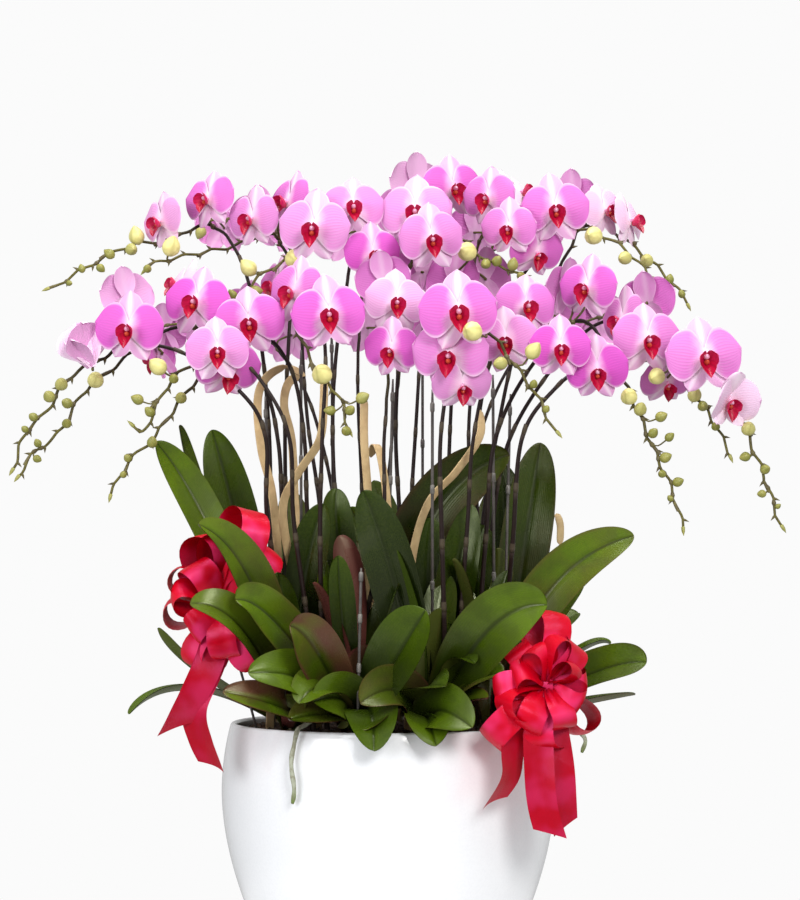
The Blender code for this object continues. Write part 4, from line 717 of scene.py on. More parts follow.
def add_spike(number, sizes, finishes, route, flowers, buds=(), half_open=()):
    """One flower spike: stem with its joints, stalks, open flowers, half-open flowers and buds."""
    rng = np.random.default_rng(number)
    shape = Shape()
    stem = smooth_path([on_bark(place) for place in route], STEM_STEP)
    share = np.linspace(0, 1, len(stem))
    run = share * len(stem) * STEM_STEP
    stem += 0.0015 * np.sin(share[:, None] * np.array((17.0, 13.0, 0.0)) + number) * share[:, None]
    swing = np.abs((run / SPRAY_STEP) % 1 - 0.5) * 2 - 0.5
    spray = smoothstep(0.66, 0.80, share) * (1 if buds else 0.3)
    sideways = unit(np.cross(np.gradient(stem, axis=0), FRONT + 0.2 * UP))
    stem += sideways * (swing * spray * SPRAY_SWING)[:, None]
    joint = np.abs(((run / sizes.joint_gap + 0.3) % 1) - 0.5)
    ring = np.exp(-(joint * sizes.joint_gap / JOINT_LENGTH) ** 2)
    radii = sizes.stem_width / 2 * (1 - 0.52 * share) * (1 + 0.10 * ring)
    green = smoothstep(0.70, 0.95, share)
    shape.tube(stem, radii, np.stack([green, ring, run], axis=1), STEM, 10)
    for at in np.flatnonzero((ring[1:-1] > ring[:-2]) & (ring[1:-1] >= ring[2:])) + 1:
        if share[at] > 0.12:
            way = unit(stem[at] - stem[at - 1])
            cup = ((-0.002, 0.0), (-0.002, 1.01), (0.004, 1.14), (0.011, 1.04))
            cup = [(along, radii[at] * swell) for along, swell in cup]
            shape.lathe(stem[at], way, cup, (green[at] * 0.8 + 0.15, 1, 0.2), STEM, 10)
    slope = np.sign(np.diff(swing))
    for at in np.flatnonzero((np.abs(swing[1:-1]) > 0.3) & (slope[1:] != slope[:-1])) + 1:
        if share[at] > 0.74 and buds:
            way = unit(stem[at] - stem[at - 1])
            outward = unit(sideways[at] * np.sign(swing[at]) + way * 0.8)
            bract = [(0.0, 0.0), (0.0, radii[at] * 0.9), (0.003, radii[at] * 0.95), (0.009, 0.0)]
            shape.lathe(stem[at], outward, bract, (0.7, 0.6, 0.3), STEM, 7)

    def add_bloom(place, azimuth, elevation, size, tone, opening=1.0):
        width = sizes.flower_width * size
        heel, axes = add_flower(shape, place, azimuth, elevation, width, tone, rng, opening)
        add_stalk(shape, stem, radii, heel, axes[2], rng, FLOWER_STALK, 0.8)

    for index, (*place, azimuth, elevation, size) in enumerate(flowers):
        add_bloom(place, azimuth, elevation, size, PALE.get((number, index), rng.uniform(*CHANCE_TONE)))
    for *place, azimuth, elevation, size, opening in half_open:
        add_bloom(place, azimuth, elevation, size * HALF_OPEN_SIZE, HALF_OPEN_TONE, opening)
    for *place, length in buds:
        size = length / 1000
        centre = on_bark(place)
        way = unit(centre - stem[nearest(stem, centre)] + UP * 0.003)
        ripe = float(smoothstep(0.011, 0.019, size))
        swell = 1.15 + 0.15 * ripe
        profile = bud_profile(size * 1.25 * swell, size * swell)
        shape.lathe(centre, way, profile, (ripe, 0, rng.uniform(0, 1)), BUD, 14, 0.03)
        add_stalk(shape, stem, radii, centre - way * size * 0.42, way, rng, BUD_STALK + 0.0003 * ripe, 1.0)
    tip = [(-0.004, 0.0), (-0.001, 0.0024), (0.004, 0.0021), (0.010, 0.0)]
    shape.lathe(stem[-1], unit(stem[-1] - stem[-3]), tip, (0.1, 0, 0.5), BUD, 10, 0.1)
    shape.piece(f"orchid_spike_{number:02}", finishes, (f"flower_spike_{number:02}",))


# Leaves and roots

def leaf_width(along):
    """Width of a leaf at a share of its length, as a share of its greatest width."""
    rising = 0.42 + 0.68 * np.sin(math.pi / 2 * np.minimum(along / LEAF_WIDEST, 1))
    past = np.maximum(along - LEAF_WIDEST, 0) / (1 - LEAF_WIDEST)
    return np.where(along < LEAF_WIDEST, rising, 1.10 * np.clip(1 - past**2.4, 0, 1) ** 0.56)


def add_leaf(shape, crown, middle, tip, width, face, purple, rng, rows=44, half_columns=8):
    """A strap leaf: a bent, channelled blade, keeled below, thick at its midrib and thin at its edges."""
    t = np.sin(np.linspace(0, math.pi / 2, rows))[:, None]
    bend = 2 * middle - (crown + tip) / 2
    path = (1 - t) ** 2 * crown + 2 * t * (1 - t) * bend + t**2 * tip
    ways = unit(np.gradient(path, axis=0))
    inward = unit((crown - tip) * LEVEL)
    normal = square_to(ways, (1 - abs(face)) * (UP + 0.3 * inward) + face * FRONT)
    across = np.cross(ways, normal)
    v = np.linspace(-1, 1, 2 * half_columns + 1)[None, :, None]
    half = (width / 2 * leaf_width(t))[..., None]
    phase = rng.uniform(0, 6.28)
    wave = 0.03 * width * np.abs(v) ** 3 * np.sin(9 * t[..., None] + phase + 2 * np.sign(v))
    fold = LEAF_FOLD * (0.75 + 0.5 * (1 - t[..., None])) * 2 * half * (np.abs(v) ** 1.15 + 0.35 * v**2)
    top = path[:, None] + across[:, None] * half * v + normal[:, None] * (fold + wave)
    keel = 0.0007 + 0.0012 * (1 - np.abs(v)) + 0.0016 * np.exp(-((v / 0.09) ** 2)) * (1 - t[..., None])
    under = top - normal[:, None] * keel * np.minimum(half / (width * 0.1), 1)
    groove = 0.0018 * np.exp(-((v / 0.07) ** 2)) * np.minimum(half / (width * 0.2), 1)
    top = top - normal[:, None] * groove
    # Painted light and shade: leaves that reach out from the middle get a higher tone and are drawn lighter,
    # inner ones a lower tone and darker; a quarter of the tone is chance.
    outer = smoothstep(0.16, 0.32, math.hypot(tip[0], tip[1]))
    tone = 0.25 * rng.uniform(0, 1) + 0.75 * outer
    shape.grid(top, (tone, purple, 0), 0)
    shape.grid(under[:, ::-1], (tone, purple, 1), 0)


def inner_leaves(crown, rng):
    """The short upright leaves in the middle of a plant, each as its middle, tip, width, face and purple."""
    found = []
    for number in range(INNER_LEAVES):
        angle = 2 * math.pi * (number + rng.uniform(-0.3, 0.3)) / INNER_LEAVES
        height, lean = rng.uniform(0.11, 0.25), rng.uniform(0.020, 0.065)
        foot = crown * LEVEL + UP * BARK_TOP
        away = (foot + heading(angle) * lean) * LEVEL
        away = away * min(1.0, INNER_REACH / np.linalg.norm(away))
        tip = away + UP * (BARK_TOP + height)
        middle = (foot + away) * LEVEL / 2 + UP * (BARK_TOP + height * 0.62)
        width, face, purple = rng.uniform(0.036, 0.052), rng.uniform(0.0, 0.5), rng.choice((0.0, 0.1, 0.6))
        found.append((middle, tip, width, face, purple))
    return found


def add_root(shape, crown, azimuth, drop, rng):
    """A silvery root that runs from the crown over the rim and hangs outside it."""
    around = heading(math.radians(azimuth))
    over = around * (RIM_RADIUS - POT_WALL / 2) + UP * (POT_HEIGHT + ROOT_RADIUS + 0.004)
    points = [crown, crown + (over - crown) * 0.6 + UP * 0.01, over]
    for out, rise in drop:
        height = POT_HEIGHT + rise / 1000
        radius = float(pot_radius(min(height, POT_HEIGHT))) + ROOT_RADIUS + 0.001 + out / 1000
        points.append(around * radius + UP * height)
    path = smooth_path(points, 0.004)
    share = np.linspace(0, 1, len(path))
    sway = 0.004 * np.sin(share * 14 + rng.uniform(0, 6)) * share
    path = path + np.cross(around, UP) * sway[:, None]
    radii = ROOT_RADIUS * (1 + 0.12 * np.sin(share * 40)) * np.sqrt(np.clip((1.02 - share) / 0.06, 0, 1))
    shape.tube(path, radii, np.stack([share, share * 0, share * 0], axis=1), 1, 10)


# Ribbon, cane, pot and bark

def at_distance(path, values, distance):
    """The values of a path's points at distances along it, given as an array of any shape; and its length."""
    steps = np.linalg.norm(np.diff(path, axis=0), axis=1)
    run = np.concatenate([[0.0], np.cumsum(steps)])
    return np.stack([np.interp(distance, run, values[:, axis]) for axis in range(3)], axis=-1), run[-1]


def bow_loop(centre, end, twist, fullness):
    """One loop of a bow: its path from the knot and back, and the direction across the ribbon."""
    reach = end - centre
    ahead = unit(reach)
    high = unit(FRONT - ahead * (FRONT @ ahead))
    high, wide = turned(high, np.cross(ahead, high), math.radians(twist))
    t = np.linspace(0, 1, LOOP_POINTS)[:, None]
    out = (1 - np.cos(2 * math.pi * t)) / 2
    side = np.sin(2 * math.pi * t) * out**0.8 * fullness * np.linalg.norm(reach)
    skew = 0.12 * np.linalg.norm(reach) * out * np.sin(2 * math.pi * t)
    return centre + reach * out + high * side + wide * skew, np.repeat(wide[None], LOOP_POINTS, axis=0)


def add_bow(shape, centre, ends, twists, width, rng):
    """A bow's loops as one unbroken ribbon, gathered at the knot, with a shorter loop between each two.
    Returns the ribbon's length."""
    length = 0.0
    t = np.linspace(0, 1, LOOP_POINTS)
    share = 0.22 + 0.78 * smoothstep(0.0, 0.30, np.minimum(t, 1 - t))
    v = np.linspace(-1, 1, RIBBON_COLUMNS)[None, :, None]
    rows = []
    ends = [on_bark(end) for end in ends]
    nearer = [centre + ((a + b) / 2 - centre) * rng.uniform(0.70, 0.90) + FRONT * 0.024
              for a, b in zip(ends, ends[1:] + ends[:1])]
    loops = [*zip(ends, twists), *zip(nearer, rng.uniform(-70, 70, len(nearer)))]
    for end, twist in loops:
        path, wide = bow_loop(centre, end, twist, rng.uniform(0.30, 0.40))
        ways = unit(np.gradient(path, axis=0))
        normal = unit(np.cross(ways, wide))[:, None]
        half = (width / 2 * share)[:, None, None]
        pleat = (1 - share)[:, None, None] * width * 0.14 * np.cos(3 * math.pi * v + rng.uniform(0, 3))
        curl = width * rng.uniform(0.02, 0.06) * v**2
        crease = width * 0.018 * np.sin(9 * t[:, None, None] + 2.5 * v + rng.uniform(0, 6))
        lean = rng.uniform(-0.12, 0.12) * (share[:, None, None] * v) * width
        flat = path[:, None] + wide[:, None] * half * v + ways[:, None] * lean
        rows.append(flat + normal * (pleat + curl + crease))
        length += np.linalg.norm(np.diff(path, axis=0), axis=1).sum()
    # Painted shade: the first painted value is darkest where the ribbon is gathered at the knot.
    gathered = np.tile(1 - smoothstep(0.22, 0.85, share), len(loops))[:, None, None]
    shape.grid(np.concatenate(rows), gathered * (1, 0, 0))
    return length


def add_tail(shape, route, twist, slant, width, rng, rows=48):
    """A hanging ribbon end, turned slowly along its length and cut at a slant. Returns its length."""
    path = smooth_path(route, 0.004)
    share = np.linspace(0, 1, len(path))[:, None]
    ways = unit(np.gradient(path, axis=0))
    wide = square_to(ways, TAIL_ACROSS)
    wide, normal = turned(wide, np.cross(ways, wide), np.radians(twist) * share**1.2)
    total = at_distance(path, path, 0.0)[1]
    v = np.linspace(-1, 1, RIBBON_COLUMNS)[None, :]
    along = np.linspace(0, 1, rows)[:, None] * (total - abs(slant) * (1 + np.sign(slant) * v) / 2)
    middle, across, off = (at_distance(path, values, along)[0] for values in (path, wide, normal))
    narrow = (0.35 + 0.65 * smoothstep(0.0, 0.25, along / total))[..., None]
    v = v[..., None]
    wave = width * (0.05 * v**2 + 0.05 * np.sin(7 * along[..., None] / total + rng.uniform(0, 6) + 1.2 * v))
    points = middle + across * width / 2 * narrow * v + off * wave
    # Painted shade towards the knot, where the end is narrow.
    shape.grid(points, (1 - smoothstep(0.35, 0.9, narrow)) * (0.8, 0, 0))
    return total


def add_band(shape, path, across, width, thickness):
    """A flat band with rounded edges and ends that follows a path."""
    ways = unit(np.gradient(path, axis=0))
    wide = square_to(ways, across)
    cos, sin = (wave(round_turn(16))[None, :, None] for wave in (np.cos, np.sin))
    wide_ring = np.sign(cos) * np.abs(cos) ** 0.5 * width / 2
    thick_ring = np.sign(sin) * np.abs(sin) ** 0.5 * thickness / 2
    size = np.ones((len(path), 1, 1))
    size[[0, -1]] = 0.0
    size[[1, -2]] = 0.85
    rings = (wide[:, None] * wide_ring + np.cross(ways, wide)[:, None] * thick_ring) * size
    shape.grid(path[:, None] + rings, closed=True)


def pot_profile():
    """The pot's outline from the middle of its underside, up its outer wall, over its rim and down inside."""
    points = [(FOOT_RADIUS * share, height) for share, height in POT_FOOT]
    for height in np.concatenate([[0.0005, 0.002, 0.0045], np.linspace(0.009, POT_HEIGHT - 0.006, 64)]):
        points.append((float(pot_radius(height)) - 0.003 * math.exp(-height / 0.0012), height))
    half = POT_WALL / 2
    middle = float(pot_radius(POT_HEIGHT - 0.003)) - half
    for angle in np.linspace(0, math.pi, 13):
        points.append((middle + half * math.cos(angle), POT_HEIGHT - half + half * math.sin(angle)))
    for drop in (0.012, 0.022, 0.037):
        points.append((float(pot_radius(POT_HEIGHT - drop)) - POT_WALL, POT_HEIGHT - drop))
    return np.array(points)


def add_chip(shape, centre, rng, size):
    """A broken piece of bark: an uneven, flattened block that lies at a chance tilt."""
    length, width, depth = (size * rng.uniform(*limits) for limits in ((0.7, 1.5), (0.5, 0.9), (0.22, 0.45)))
    columns = 7
    turn = round_turn(columns) + rng.uniform(-0.3, 0.3, columns)
    rows = []
    for height, share in ((-0.5, 0.0), (-0.5, 0.85), (0.1, 1.05), (0.5, 0.8), (0.5, 0.0)):
        spread = share * rng.uniform(0.78, 1.15, columns)
        lift = (height + rng.uniform(-0.12, 0.12, columns) * (share > 0)) * depth
        ring = np.stack([np.cos(turn) * length / 2, np.sin(turn) * width / 2], axis=1)
        rows.append(np.column_stack([ring * spread[:, None], lift]))
    spin, pitch, roll = rng.uniform(0, 2 * math.pi), rng.normal(0, 0.35), rng.normal(0, 0.35)
    points = centre + np.array(rows) @ np.array(Euler((roll, pitch, spin)).to_matrix()).T
    shape.grid(points, (rng.uniform(0, 1), rng.uniform(0, 1), 0), closed=True)


# Materials

def linear(red, green, blue):
    """A colour given as 0 to 255, as the linear values that a shader takes."""
    values = (value / 255 for value in (red, green, blue))
    return tuple(v / 12.92 if v <= 0.04045 else ((v + 0.055) / 1.055) ** 2.4 for v in values)


class Nodes:
    """A node tree, with short ways to add and join its nodes. Each way gives what the new node puts out."""

    def __init__(self, tree):
        self.tree = tree

    def add(self, kind, values=None, **settings):
        node = self.tree.nodes.new(kind)
        for name, value in settings.items():
            setattr(node, name, value)
        for name, value in (values or {}).items():
            self.put(node.inputs[name], value)
        return node.outputs

    def put(self, socket, value):
        if isinstance(value, bpy.types.NodeSocket):
            self.tree.links.new(value, socket)
        elif socket.type == "RGBA" and len(value) == 3:
            socket.default_value = (*value, 1)
        else:
            socket.default_value = value

    def math(self, operation, *values):
        return self.add("ShaderNodeMath", dict(enumerate(values)), operation=operation)[0]

    def plus(self, first, second):
        return self.math("ADD", first, second)

    def most(self, first, second):
        return self.math("MAXIMUM", first, second)

    def rest(self, value):
        """What a value leaves of one."""
        return self.math("SUBTRACT", 1.0, value)

    def times(self, product, *others):
        for other in others:
            product = self.math("MULTIPLY", product, other)
        return product

    def step(self, value, low, high):
        """0 below the first limit and 1 above the second, with a smooth rise between them."""
        values = {"Value": value, "From Min": low, "From Max": high}
        return self.add("ShaderNodeMapRange", values, interpolation_type="SMOOTHSTEP")[0]

    def mix(self, share, low, high):
        return self.add("ShaderNodeMix", {0: share, 6: low, 7: high}, data_type="RGBA")[2]

    def over(self, colour, other, mask, share):
        """A colour with a share of another over it where the mask shows."""
        return self.mix(self.times(mask, share), colour, other)

    def behind(self, front, back, share):
        """A colour for the front of a thin surface, mixed with another at its back."""
        return self.over(front, back, self.add("ShaderNodeNewGeometry")["Backfacing"], share)

    def noise(self, where, scale, detail=2.0):
        return self.add("ShaderNodeTexNoise", {"Vector": where, "Scale": scale, "Detail": detail})[0]

    def bump(self, height, strength, distance):
        values = {"Height": height, "Strength": strength, "Distance": distance}
        return self.add("ShaderNodeBump", values)[0]

    def group(self, name, **values):
        return self.add("ShaderNodeGroup", values, node_tree=bpy.data.node_groups[name])

    def mottle(self, where, colour, tint, scale, amount):
        """A colour with soft patches of another, and the mask of the patches."""
        return self.group("Mottle", Vector=where, Color=colour, Tint=tint, Scale=scale, Amount=amount)

    def lines(self, where, across, count, sharpness, scale=40.0, wander=0.6):
        """The mask of fine lines that run along a surface and wander a little."""
        return self.group("Fine lines", Vector=where, Across=across, Count=count, Sharpness=sharpness,
                          Scale=scale, Wander=wander)[0]


def new_group(name, inputs, outputs):
    """An empty node group with the given sockets: (name, type, default) in, (name, type) out."""
    tree = bpy.data.node_groups.new(name, "ShaderNodeTree")
    for label, kind, default in inputs:
        socket = tree.interface.new_socket(label, in_out="INPUT", socket_type=f"NodeSocket{kind}")
        if default is not None:
            socket.default_value = default
    for label, kind in outputs:
        tree.interface.new_socket(label, in_out="OUTPUT", socket_type=f"NodeSocket{kind}")
    nodes = Nodes(tree)
    return nodes, nodes.add("NodeGroupInput"), tree.nodes.new("NodeGroupOutput").inputs


def make_groups():
    """The effects that several finishes share."""
    nodes, given, result = new_group(
        "Mottle",
        (("Color", "Color", (1, 1, 1, 1)), ("Tint", "Color", (0, 0, 0, 1)), ("Vector", "Vector", None),
         ("Scale", "Float", 60.0), ("Amount", "Float", 0.3)),
        (("Color", "Color"), ("Mask", "Float")),
    )
    mask = nodes.step(nodes.noise(given["Vector"], given["Scale"], 4.0), 0.38, 0.68)
    nodes.put(result["Color"], nodes.over(given["Color"], given["Tint"], mask, given["Amount"]))
    nodes.put(result["Mask"], mask)

    nodes, given, result = new_group(
        "Fine lines",
        (("Across", "Float", 0.0), ("Count", "Float", 20.0), ("Vector", "Vector", None),
         ("Scale", "Float", 40.0), ("Wander", "Float", 0.6), ("Sharpness", "Float", 4.0)),
        (("Mask", "Float"),),
    )
    drift = nodes.times(nodes.noise(given["Vector"], given["Scale"]), given["Wander"])
    phase = nodes.plus(nodes.times(given["Across"], given["Count"]), drift)
    crest = nodes.math("ABSOLUTE", nodes.math("SINE", nodes.times(phase, math.pi)))
    nodes.put(result["Mask"], nodes.math("POWER", crest, given["Sharpness"]))

    nodes, given, result = new_group(
        "Blade place",
        (("Place", "Vector", None),),
        (("Along", "Float"), ("Across", "Float"), ("From middle", "Float"), ("Edge", "Float")),
    )
    across, along, _ = nodes.add("ShaderNodeSeparateXYZ", {0: given["Place"]})
    middle = nodes.math("ABSOLUTE", nodes.math("SUBTRACT", nodes.times(across, 2.0), 1.0))
    edge = nodes.most(nodes.step(middle, 0.84, 1.0), nodes.step(along, 0.84, 1.0))
    for label, value in (("Along", along), ("Across", across), ("From middle", middle), ("Edge", edge)):
        nodes.put(result[label], value)


# Each finish adds the nodes that feed the shader and returns what goes to which of its sockets. Its paint
# holds the three values that are painted on the piece.

def petal_finish(nodes, colours, where, place, paint):
    tone, sepal, _ = paint
    along, across, middle, edge = nodes.group("Blade place", Place=place)
    full = nodes.step(nodes.plus(along, nodes.times(nodes.noise(where, 55.0), 0.22)), 0.08, 0.40)
    core = nodes.times(nodes.step(middle, 0.42, 0.0), sepal, 0.8)
    depth = nodes.times(full, nodes.rest(core), nodes.rest(nodes.times(edge, 0.5)), tone)
    colour = nodes.mix(nodes.plus(depth, 0.04), colours.petal_pale, colours.petal_deep)
    veins = nodes.lines(where, across, 17.0, 5.0)
    shown = nodes.times(veins, 0.22, nodes.plus(tone, 0.2))
    colour = nodes.over(colour, colours.petal_vein, shown, nodes.rest(edge))
    colour = nodes.behind(colour, linear(200, 118, 184), 0.6)
    relief = nodes.times(veins, nodes.step(along, 0.0, 0.3))
    # The emission is a faint painted glow in the petals' own colour.
    return {"Base Color": colour, "Emission Color": colour, "Normal": nodes.bump(relief, 0.25, 0.0006),
            "Roughness": 0.48, "Emission Strength": 0.01, "Sheen Weight": 0.1, "Sheen Roughness": 0.4,
            "Specular IOR Level": 0.2}


def lip_finish(nodes, colours, where, place, paint):
    depth, _, pale = paint
    colour = nodes.mix(depth, colours.lip_light, colours.lip_deep)
    spots = nodes.step(nodes.noise(where, 900.0), 0.55, 0.62)
    throat = nodes.over(linear(204, 88, 56), linear(150, 12, 34), spots, 0.8)
    cloud = nodes.step(nodes.noise(where, 300.0), 0.4, 0.8)
    column = nodes.mix(cloud, linear(240, 196, 226), linear(224, 120, 180))
    middle = nodes.mix(nodes.step(pale, 0.7, 0.95), column, throat)
    colour = nodes.mix(nodes.step(pale, 0.3, 0.7), colour, middle)
    lines = nodes.lines(where, place, 9.0, 4.0)
    colour = nodes.over(colour, linear(136, 0, 40), nodes.times(lines, 0.5), depth)
    # The emission is a painted glow that lifts the lip out of its shade.
    return {"Base Color": colour, "Emission Color": colour, "Normal": nodes.bump(lines, 0.2, 0.0004),
            "Roughness": 0.38, "Emission Strength": 0.10}


def stem_finish(nodes, colours, where, place, paint):
    green, joint, _ = paint
    base = nodes.mix(green, colours.stem, colours.stalk)
    colour, patches = nodes.mottle(where, base, linear(30, 16, 20), 160.0, 0.45)
    scar = nodes.over(colour, linear(140, 126, 112), joint, 0.18)
    return {"Base Color": scar, "Normal": nodes.bump(patches, 0.2, 0.0005), "Roughness": 0.45,
            "Specular IOR Level": 0.25}


def bud_finish(nodes, colours, where, place, paint):
    along, across, _, _ = nodes.group("Blade place", Place=place)
    colour = nodes.mix(paint[0], colours.bud_green, colours.bud)
    seam = nodes.lines(where, across, 3.0, 14.0, wander=0.15)
    colour = nodes.over(colour, linear(150, 142, 70), seam, 0.4)
    ends = nodes.most(nodes.step(along, 0.30, 0.0), nodes.step(along, 0.82, 1.0))
    colour = nodes.over(colour, linear(158, 150, 84), ends, 0.45)
    colour = nodes.mottle(where, colour, linear(190, 180, 100), 130.0, 0.3)[0]
    # The emission is a faint painted glow in the buds' own colour.
    return {"Base Color": colour, "Emission Color": colour, "Normal": nodes.bump(seam, 0.3, 0.0006),
            "Roughness": 0.45, "Emission Strength": 0.04}


def leaf_finish(nodes, colours, where, place, paint):
    """Green, with painted light on the outer leaves and towards the tips, painted shade at the foot and over
    the inner leaves, a darker midrib and a purple blush at the rim.
    """
    tone, purple, under = paint
    along, across, middle, _ = nodes.group("Blade place", Place=place)
    # Painted light: the share of the paler green rises with the leaf's tone and towards its tip.
    light = nodes.plus(nodes.times(tone, 0.85), nodes.times(along, 0.15))
    colour = nodes.mix(light, colours.leaf, colours.leaf_light)
    colour, patches = nodes.mottle(where, colour, colours.leaf_dark, 30.0, 0.35)
    colour = nodes.mottle(where, colour, linear(140, 152, 60), 420.0, 0.06)[0]
    lines = nodes.lines(where, across, 26.0, 2.0, scale=9.0)
    # Painted shade over the inner leaves: the lower a leaf's tone, the darker it is drawn from its foot up.
    inner = nodes.most(nodes.math("SUBTRACT", 0.5, nodes.times(tone, 0.7)), 0.0)
    for other, mask, share in (
        (colours.leaf_dark, lines, 0.16),
        (linear(24, 36, 4), nodes.step(middle, 0.14, 0.0), 0.7),
        # Painted shade at the foot of every leaf, deep in the plant
        (linear(9, 13, 3), nodes.step(along, 0.55, 0.08), 0.85),
        # Painted shade over the inner leaves, by the share above
        (linear(12, 18, 4), nodes.step(along, 0.95, 0.25), inner),
        (linear(66, 82, 26), under, 0.6),
    ):
        colour = nodes.over(colour, other, mask, share)
    rim = nodes.most(nodes.step(middle, 0.80, 1.0), nodes.step(along, 0.80, 1.0))
    rim = nodes.most(rim, nodes.times(nodes.step(across, 0.5, 0.75), purple))
    blush = nodes.times(nodes.plus(nodes.times(rim, 0.7), under), purple)
    blotch = nodes.step(nodes.noise(where, 24.0), 0.35, 0.7)
    blush = nodes.plus(blush, nodes.times(purple, blotch, 0.35))
    colour = nodes.mix(nodes.math("MINIMUM", blush, 0.85), colour, colours.leaf_purple)
    return {"Base Color": colour, "Roughness": nodes.plus(0.24, nodes.times(patches, 0.14)),
            "Normal": nodes.bump(lines, 0.10, 0.0006), "Specular IOR Level": 0.42,
            "Specular Tint": (0.95, 1.0, 0.70, 1)}


def root_finish(nodes, colours, where, place, paint):
    base = nodes.mix(nodes.step(paint[0], 0.86, 1.0), linear(176, 180, 160), linear(110, 130, 60))
    colour, patches = nodes.mottle(where, base, linear(122, 118, 92), 190.0, 0.7)
    return {"Base Color": colour, "Normal": nodes.bump(patches, 0.4, 0.0006), "Roughness": 0.75}


def bark_finish(nodes, colours, where, place, paint):
    base = nodes.mix(nodes.noise(where, 18.0), colours.bark, linear(78, 54, 38))
    colour, patches = nodes.mottle(where, base, linear(24, 17, 13), 210.0, 0.8)
    return {"Base Color": colour, "Normal": nodes.bump(patches, 0.8, 0.0015), "Roughness": 0.92}


def glaze_finish(nodes, colours, where, place, paint):
    colour, patches = nodes.mottle(where, colours.glaze, linear(214, 216, 222), 7.0, 0.12)
    colour = nodes.mottle(where, colour, linear(214, 216, 222), 340.0, 0.10)[0]
    return {"Base Color": colour, "Roughness": nodes.plus(0.16, nodes.times(patches, 0.06)),
            "Normal": nodes.bump(patches, 0.05, 0.001), "Coat Weight": 0.6, "Coat Roughness": 0.08}


def stake_finish(nodes, colours, where, place, paint):
    base = nodes.mix(paint[0], colours.stake, linear(118, 114, 108))
    colour, patches = nodes.mottle(where, base, linear(46, 44, 46), 90.0, 0.5)
    return {"Base Color": colour, "Normal": nodes.bump(patches, 0.1, 0.0004), "Roughness": 0.4}


def cane_finish(nodes, colours, where, place, paint):
    across = nodes.group("Blade place", Place=place)["Across"]
    grain = nodes.lines(where, across, 34.0, 2.5, scale=14.0, wander=2.2)
    base = nodes.mix(nodes.noise(where, 16.0), colours.cane, linear(214, 192, 142))
    colour = nodes.over(base, linear(160, 122, 78), grain, 0.35)
    colour = nodes.mottle(where, colour, linear(150, 110, 70), 70.0, 0.3)[0]
    return {"Base Color": colour, "Normal": nodes.bump(grain, 0.35, 0.0006), "Roughness": 0.62}


def satin_finish(nodes, colours, where, place, paint):
    """Ribbon with a painted highlight where it faces the eye, darker at its edges, with painted shade in its
    gathers and at its back, and a faint painted glow.
    """
    _, across, middle, _ = nodes.group("Blade place", Place=place)
    weave = nodes.lines(where, across, 44.0, 1.0, wander=0.1)
    colour = nodes.mottle(where, colours.ribbon, colours.ribbon_deep, 26.0, 0.22)[0]
    # Painted highlight: pale pink patches where the ribbon faces the eye.
    facing = nodes.add("ShaderNodeLayerWeight", {"Blend": 0.3})["Facing"]
    gloss = nodes.times(nodes.step(facing, 0.30, 0.0), nodes.step(nodes.noise(where, 22.0), 0.40, 0.64))
    for other, mask, share in (
        (colours.ribbon_deep, nodes.step(middle, 0.93, 1.0), 0.4),
        (colours.ribbon_light, gloss, 0.62),
        # Painted shade where the ribbon is gathered at the knot and near the tops of its ends
        (linear(104, 0, 10), paint[0], 0.85),
    ):
        colour = nodes.over(colour, other, mask, share)
    # Painted shade on the ribbon's back.
    colour = nodes.behind(colour, colours.ribbon_deep, 0.6)
    stretched = nodes.add("ShaderNodeVectorMath", {0: where, 1: (1.0, 1.0, 0.5)}, operation="MULTIPLY")[0]
    folds = nodes.plus(nodes.times(nodes.noise(stretched, 34.0, 1.0), 8.0), nodes.times(weave, 0.1))
    # The emission is a faint painted glow in the ribbon's own colour.
    return {"Base Color": colour, "Emission Color": colour, "Emission Strength": 0.05,
            "Roughness": nodes.plus(0.30, nodes.times(weave, 0.08)), "Normal": nodes.bump(folds, 0.5, 0.001),
            "Anisotropic": 0.6, "Specular Tint": (1.0, 0.28, 0.58, 1), "Specular IOR Level": 0.6}


def floor_finish(nodes, colours, where, place, paint):
    """Even white, with a shaded patch round the pot that takes its shadow."""
    reach = nodes.add("ShaderNodeVectorMath", {0: where}, operation="LENGTH")["Value"]
    near = nodes.step(reach, *SHADOW_REACH)
    seen = nodes.add("ShaderNodeLightPath")["Is Camera Ray"]
    glow = nodes.math("SUBTRACT", FLOOR_WHITE, nodes.times(near, SHADOW_DEPTH * FLOOR_LIGHT))
    level = nodes.add("ShaderNodeMapRange", {"Value": seen, "To Min": FLOOR_GLOW, "To Max": glow})[0]
    white = nodes.mix(near, (0.0, 0.0, 0.0), (SHADOW_DEPTH,) * 3)
    return {"Base Color": white, "Emission Color": (1.0, 1.0, 1.0), "Emission Strength": level,
            "Roughness": 1.0, "Specular IOR Level": 0.0}


FINISHES = {
    "petals": petal_finish, "lip": lip_finish, "stems": stem_finish, "buds": bud_finish,
    "leaves": leaf_finish, "roots": root_finish, "bark": bark_finish, "white_glaze": glaze_finish,
    "stakes": stake_finish, "cane": cane_finish, "satin": satin_finish, "studio_floor": floor_finish,
}


def make_material(name, colours):
    """A material on the Principled shader, fed by its finish."""
    material = bpy.data.materials.new(f"{name}_surface")
    material.use_nodes = True
    nodes = Nodes(material.node_tree)
    where = nodes.add("ShaderNodeTexCoord")["Object"]
    place = nodes.add("ShaderNodeUVMap", uv_map="surface")[0]
    painted = nodes.add("ShaderNodeAttribute", attribute_name="paint")["Vector"]
    paint = tuple(nodes.add("ShaderNodeSeparateXYZ", {0: painted}))
    shader = material.node_tree.nodes["Principled BSDF"]
    for label, value in FINISHES[name](nodes, colours, where, place, paint).items():
        nodes.put(shader.inputs[label], value)


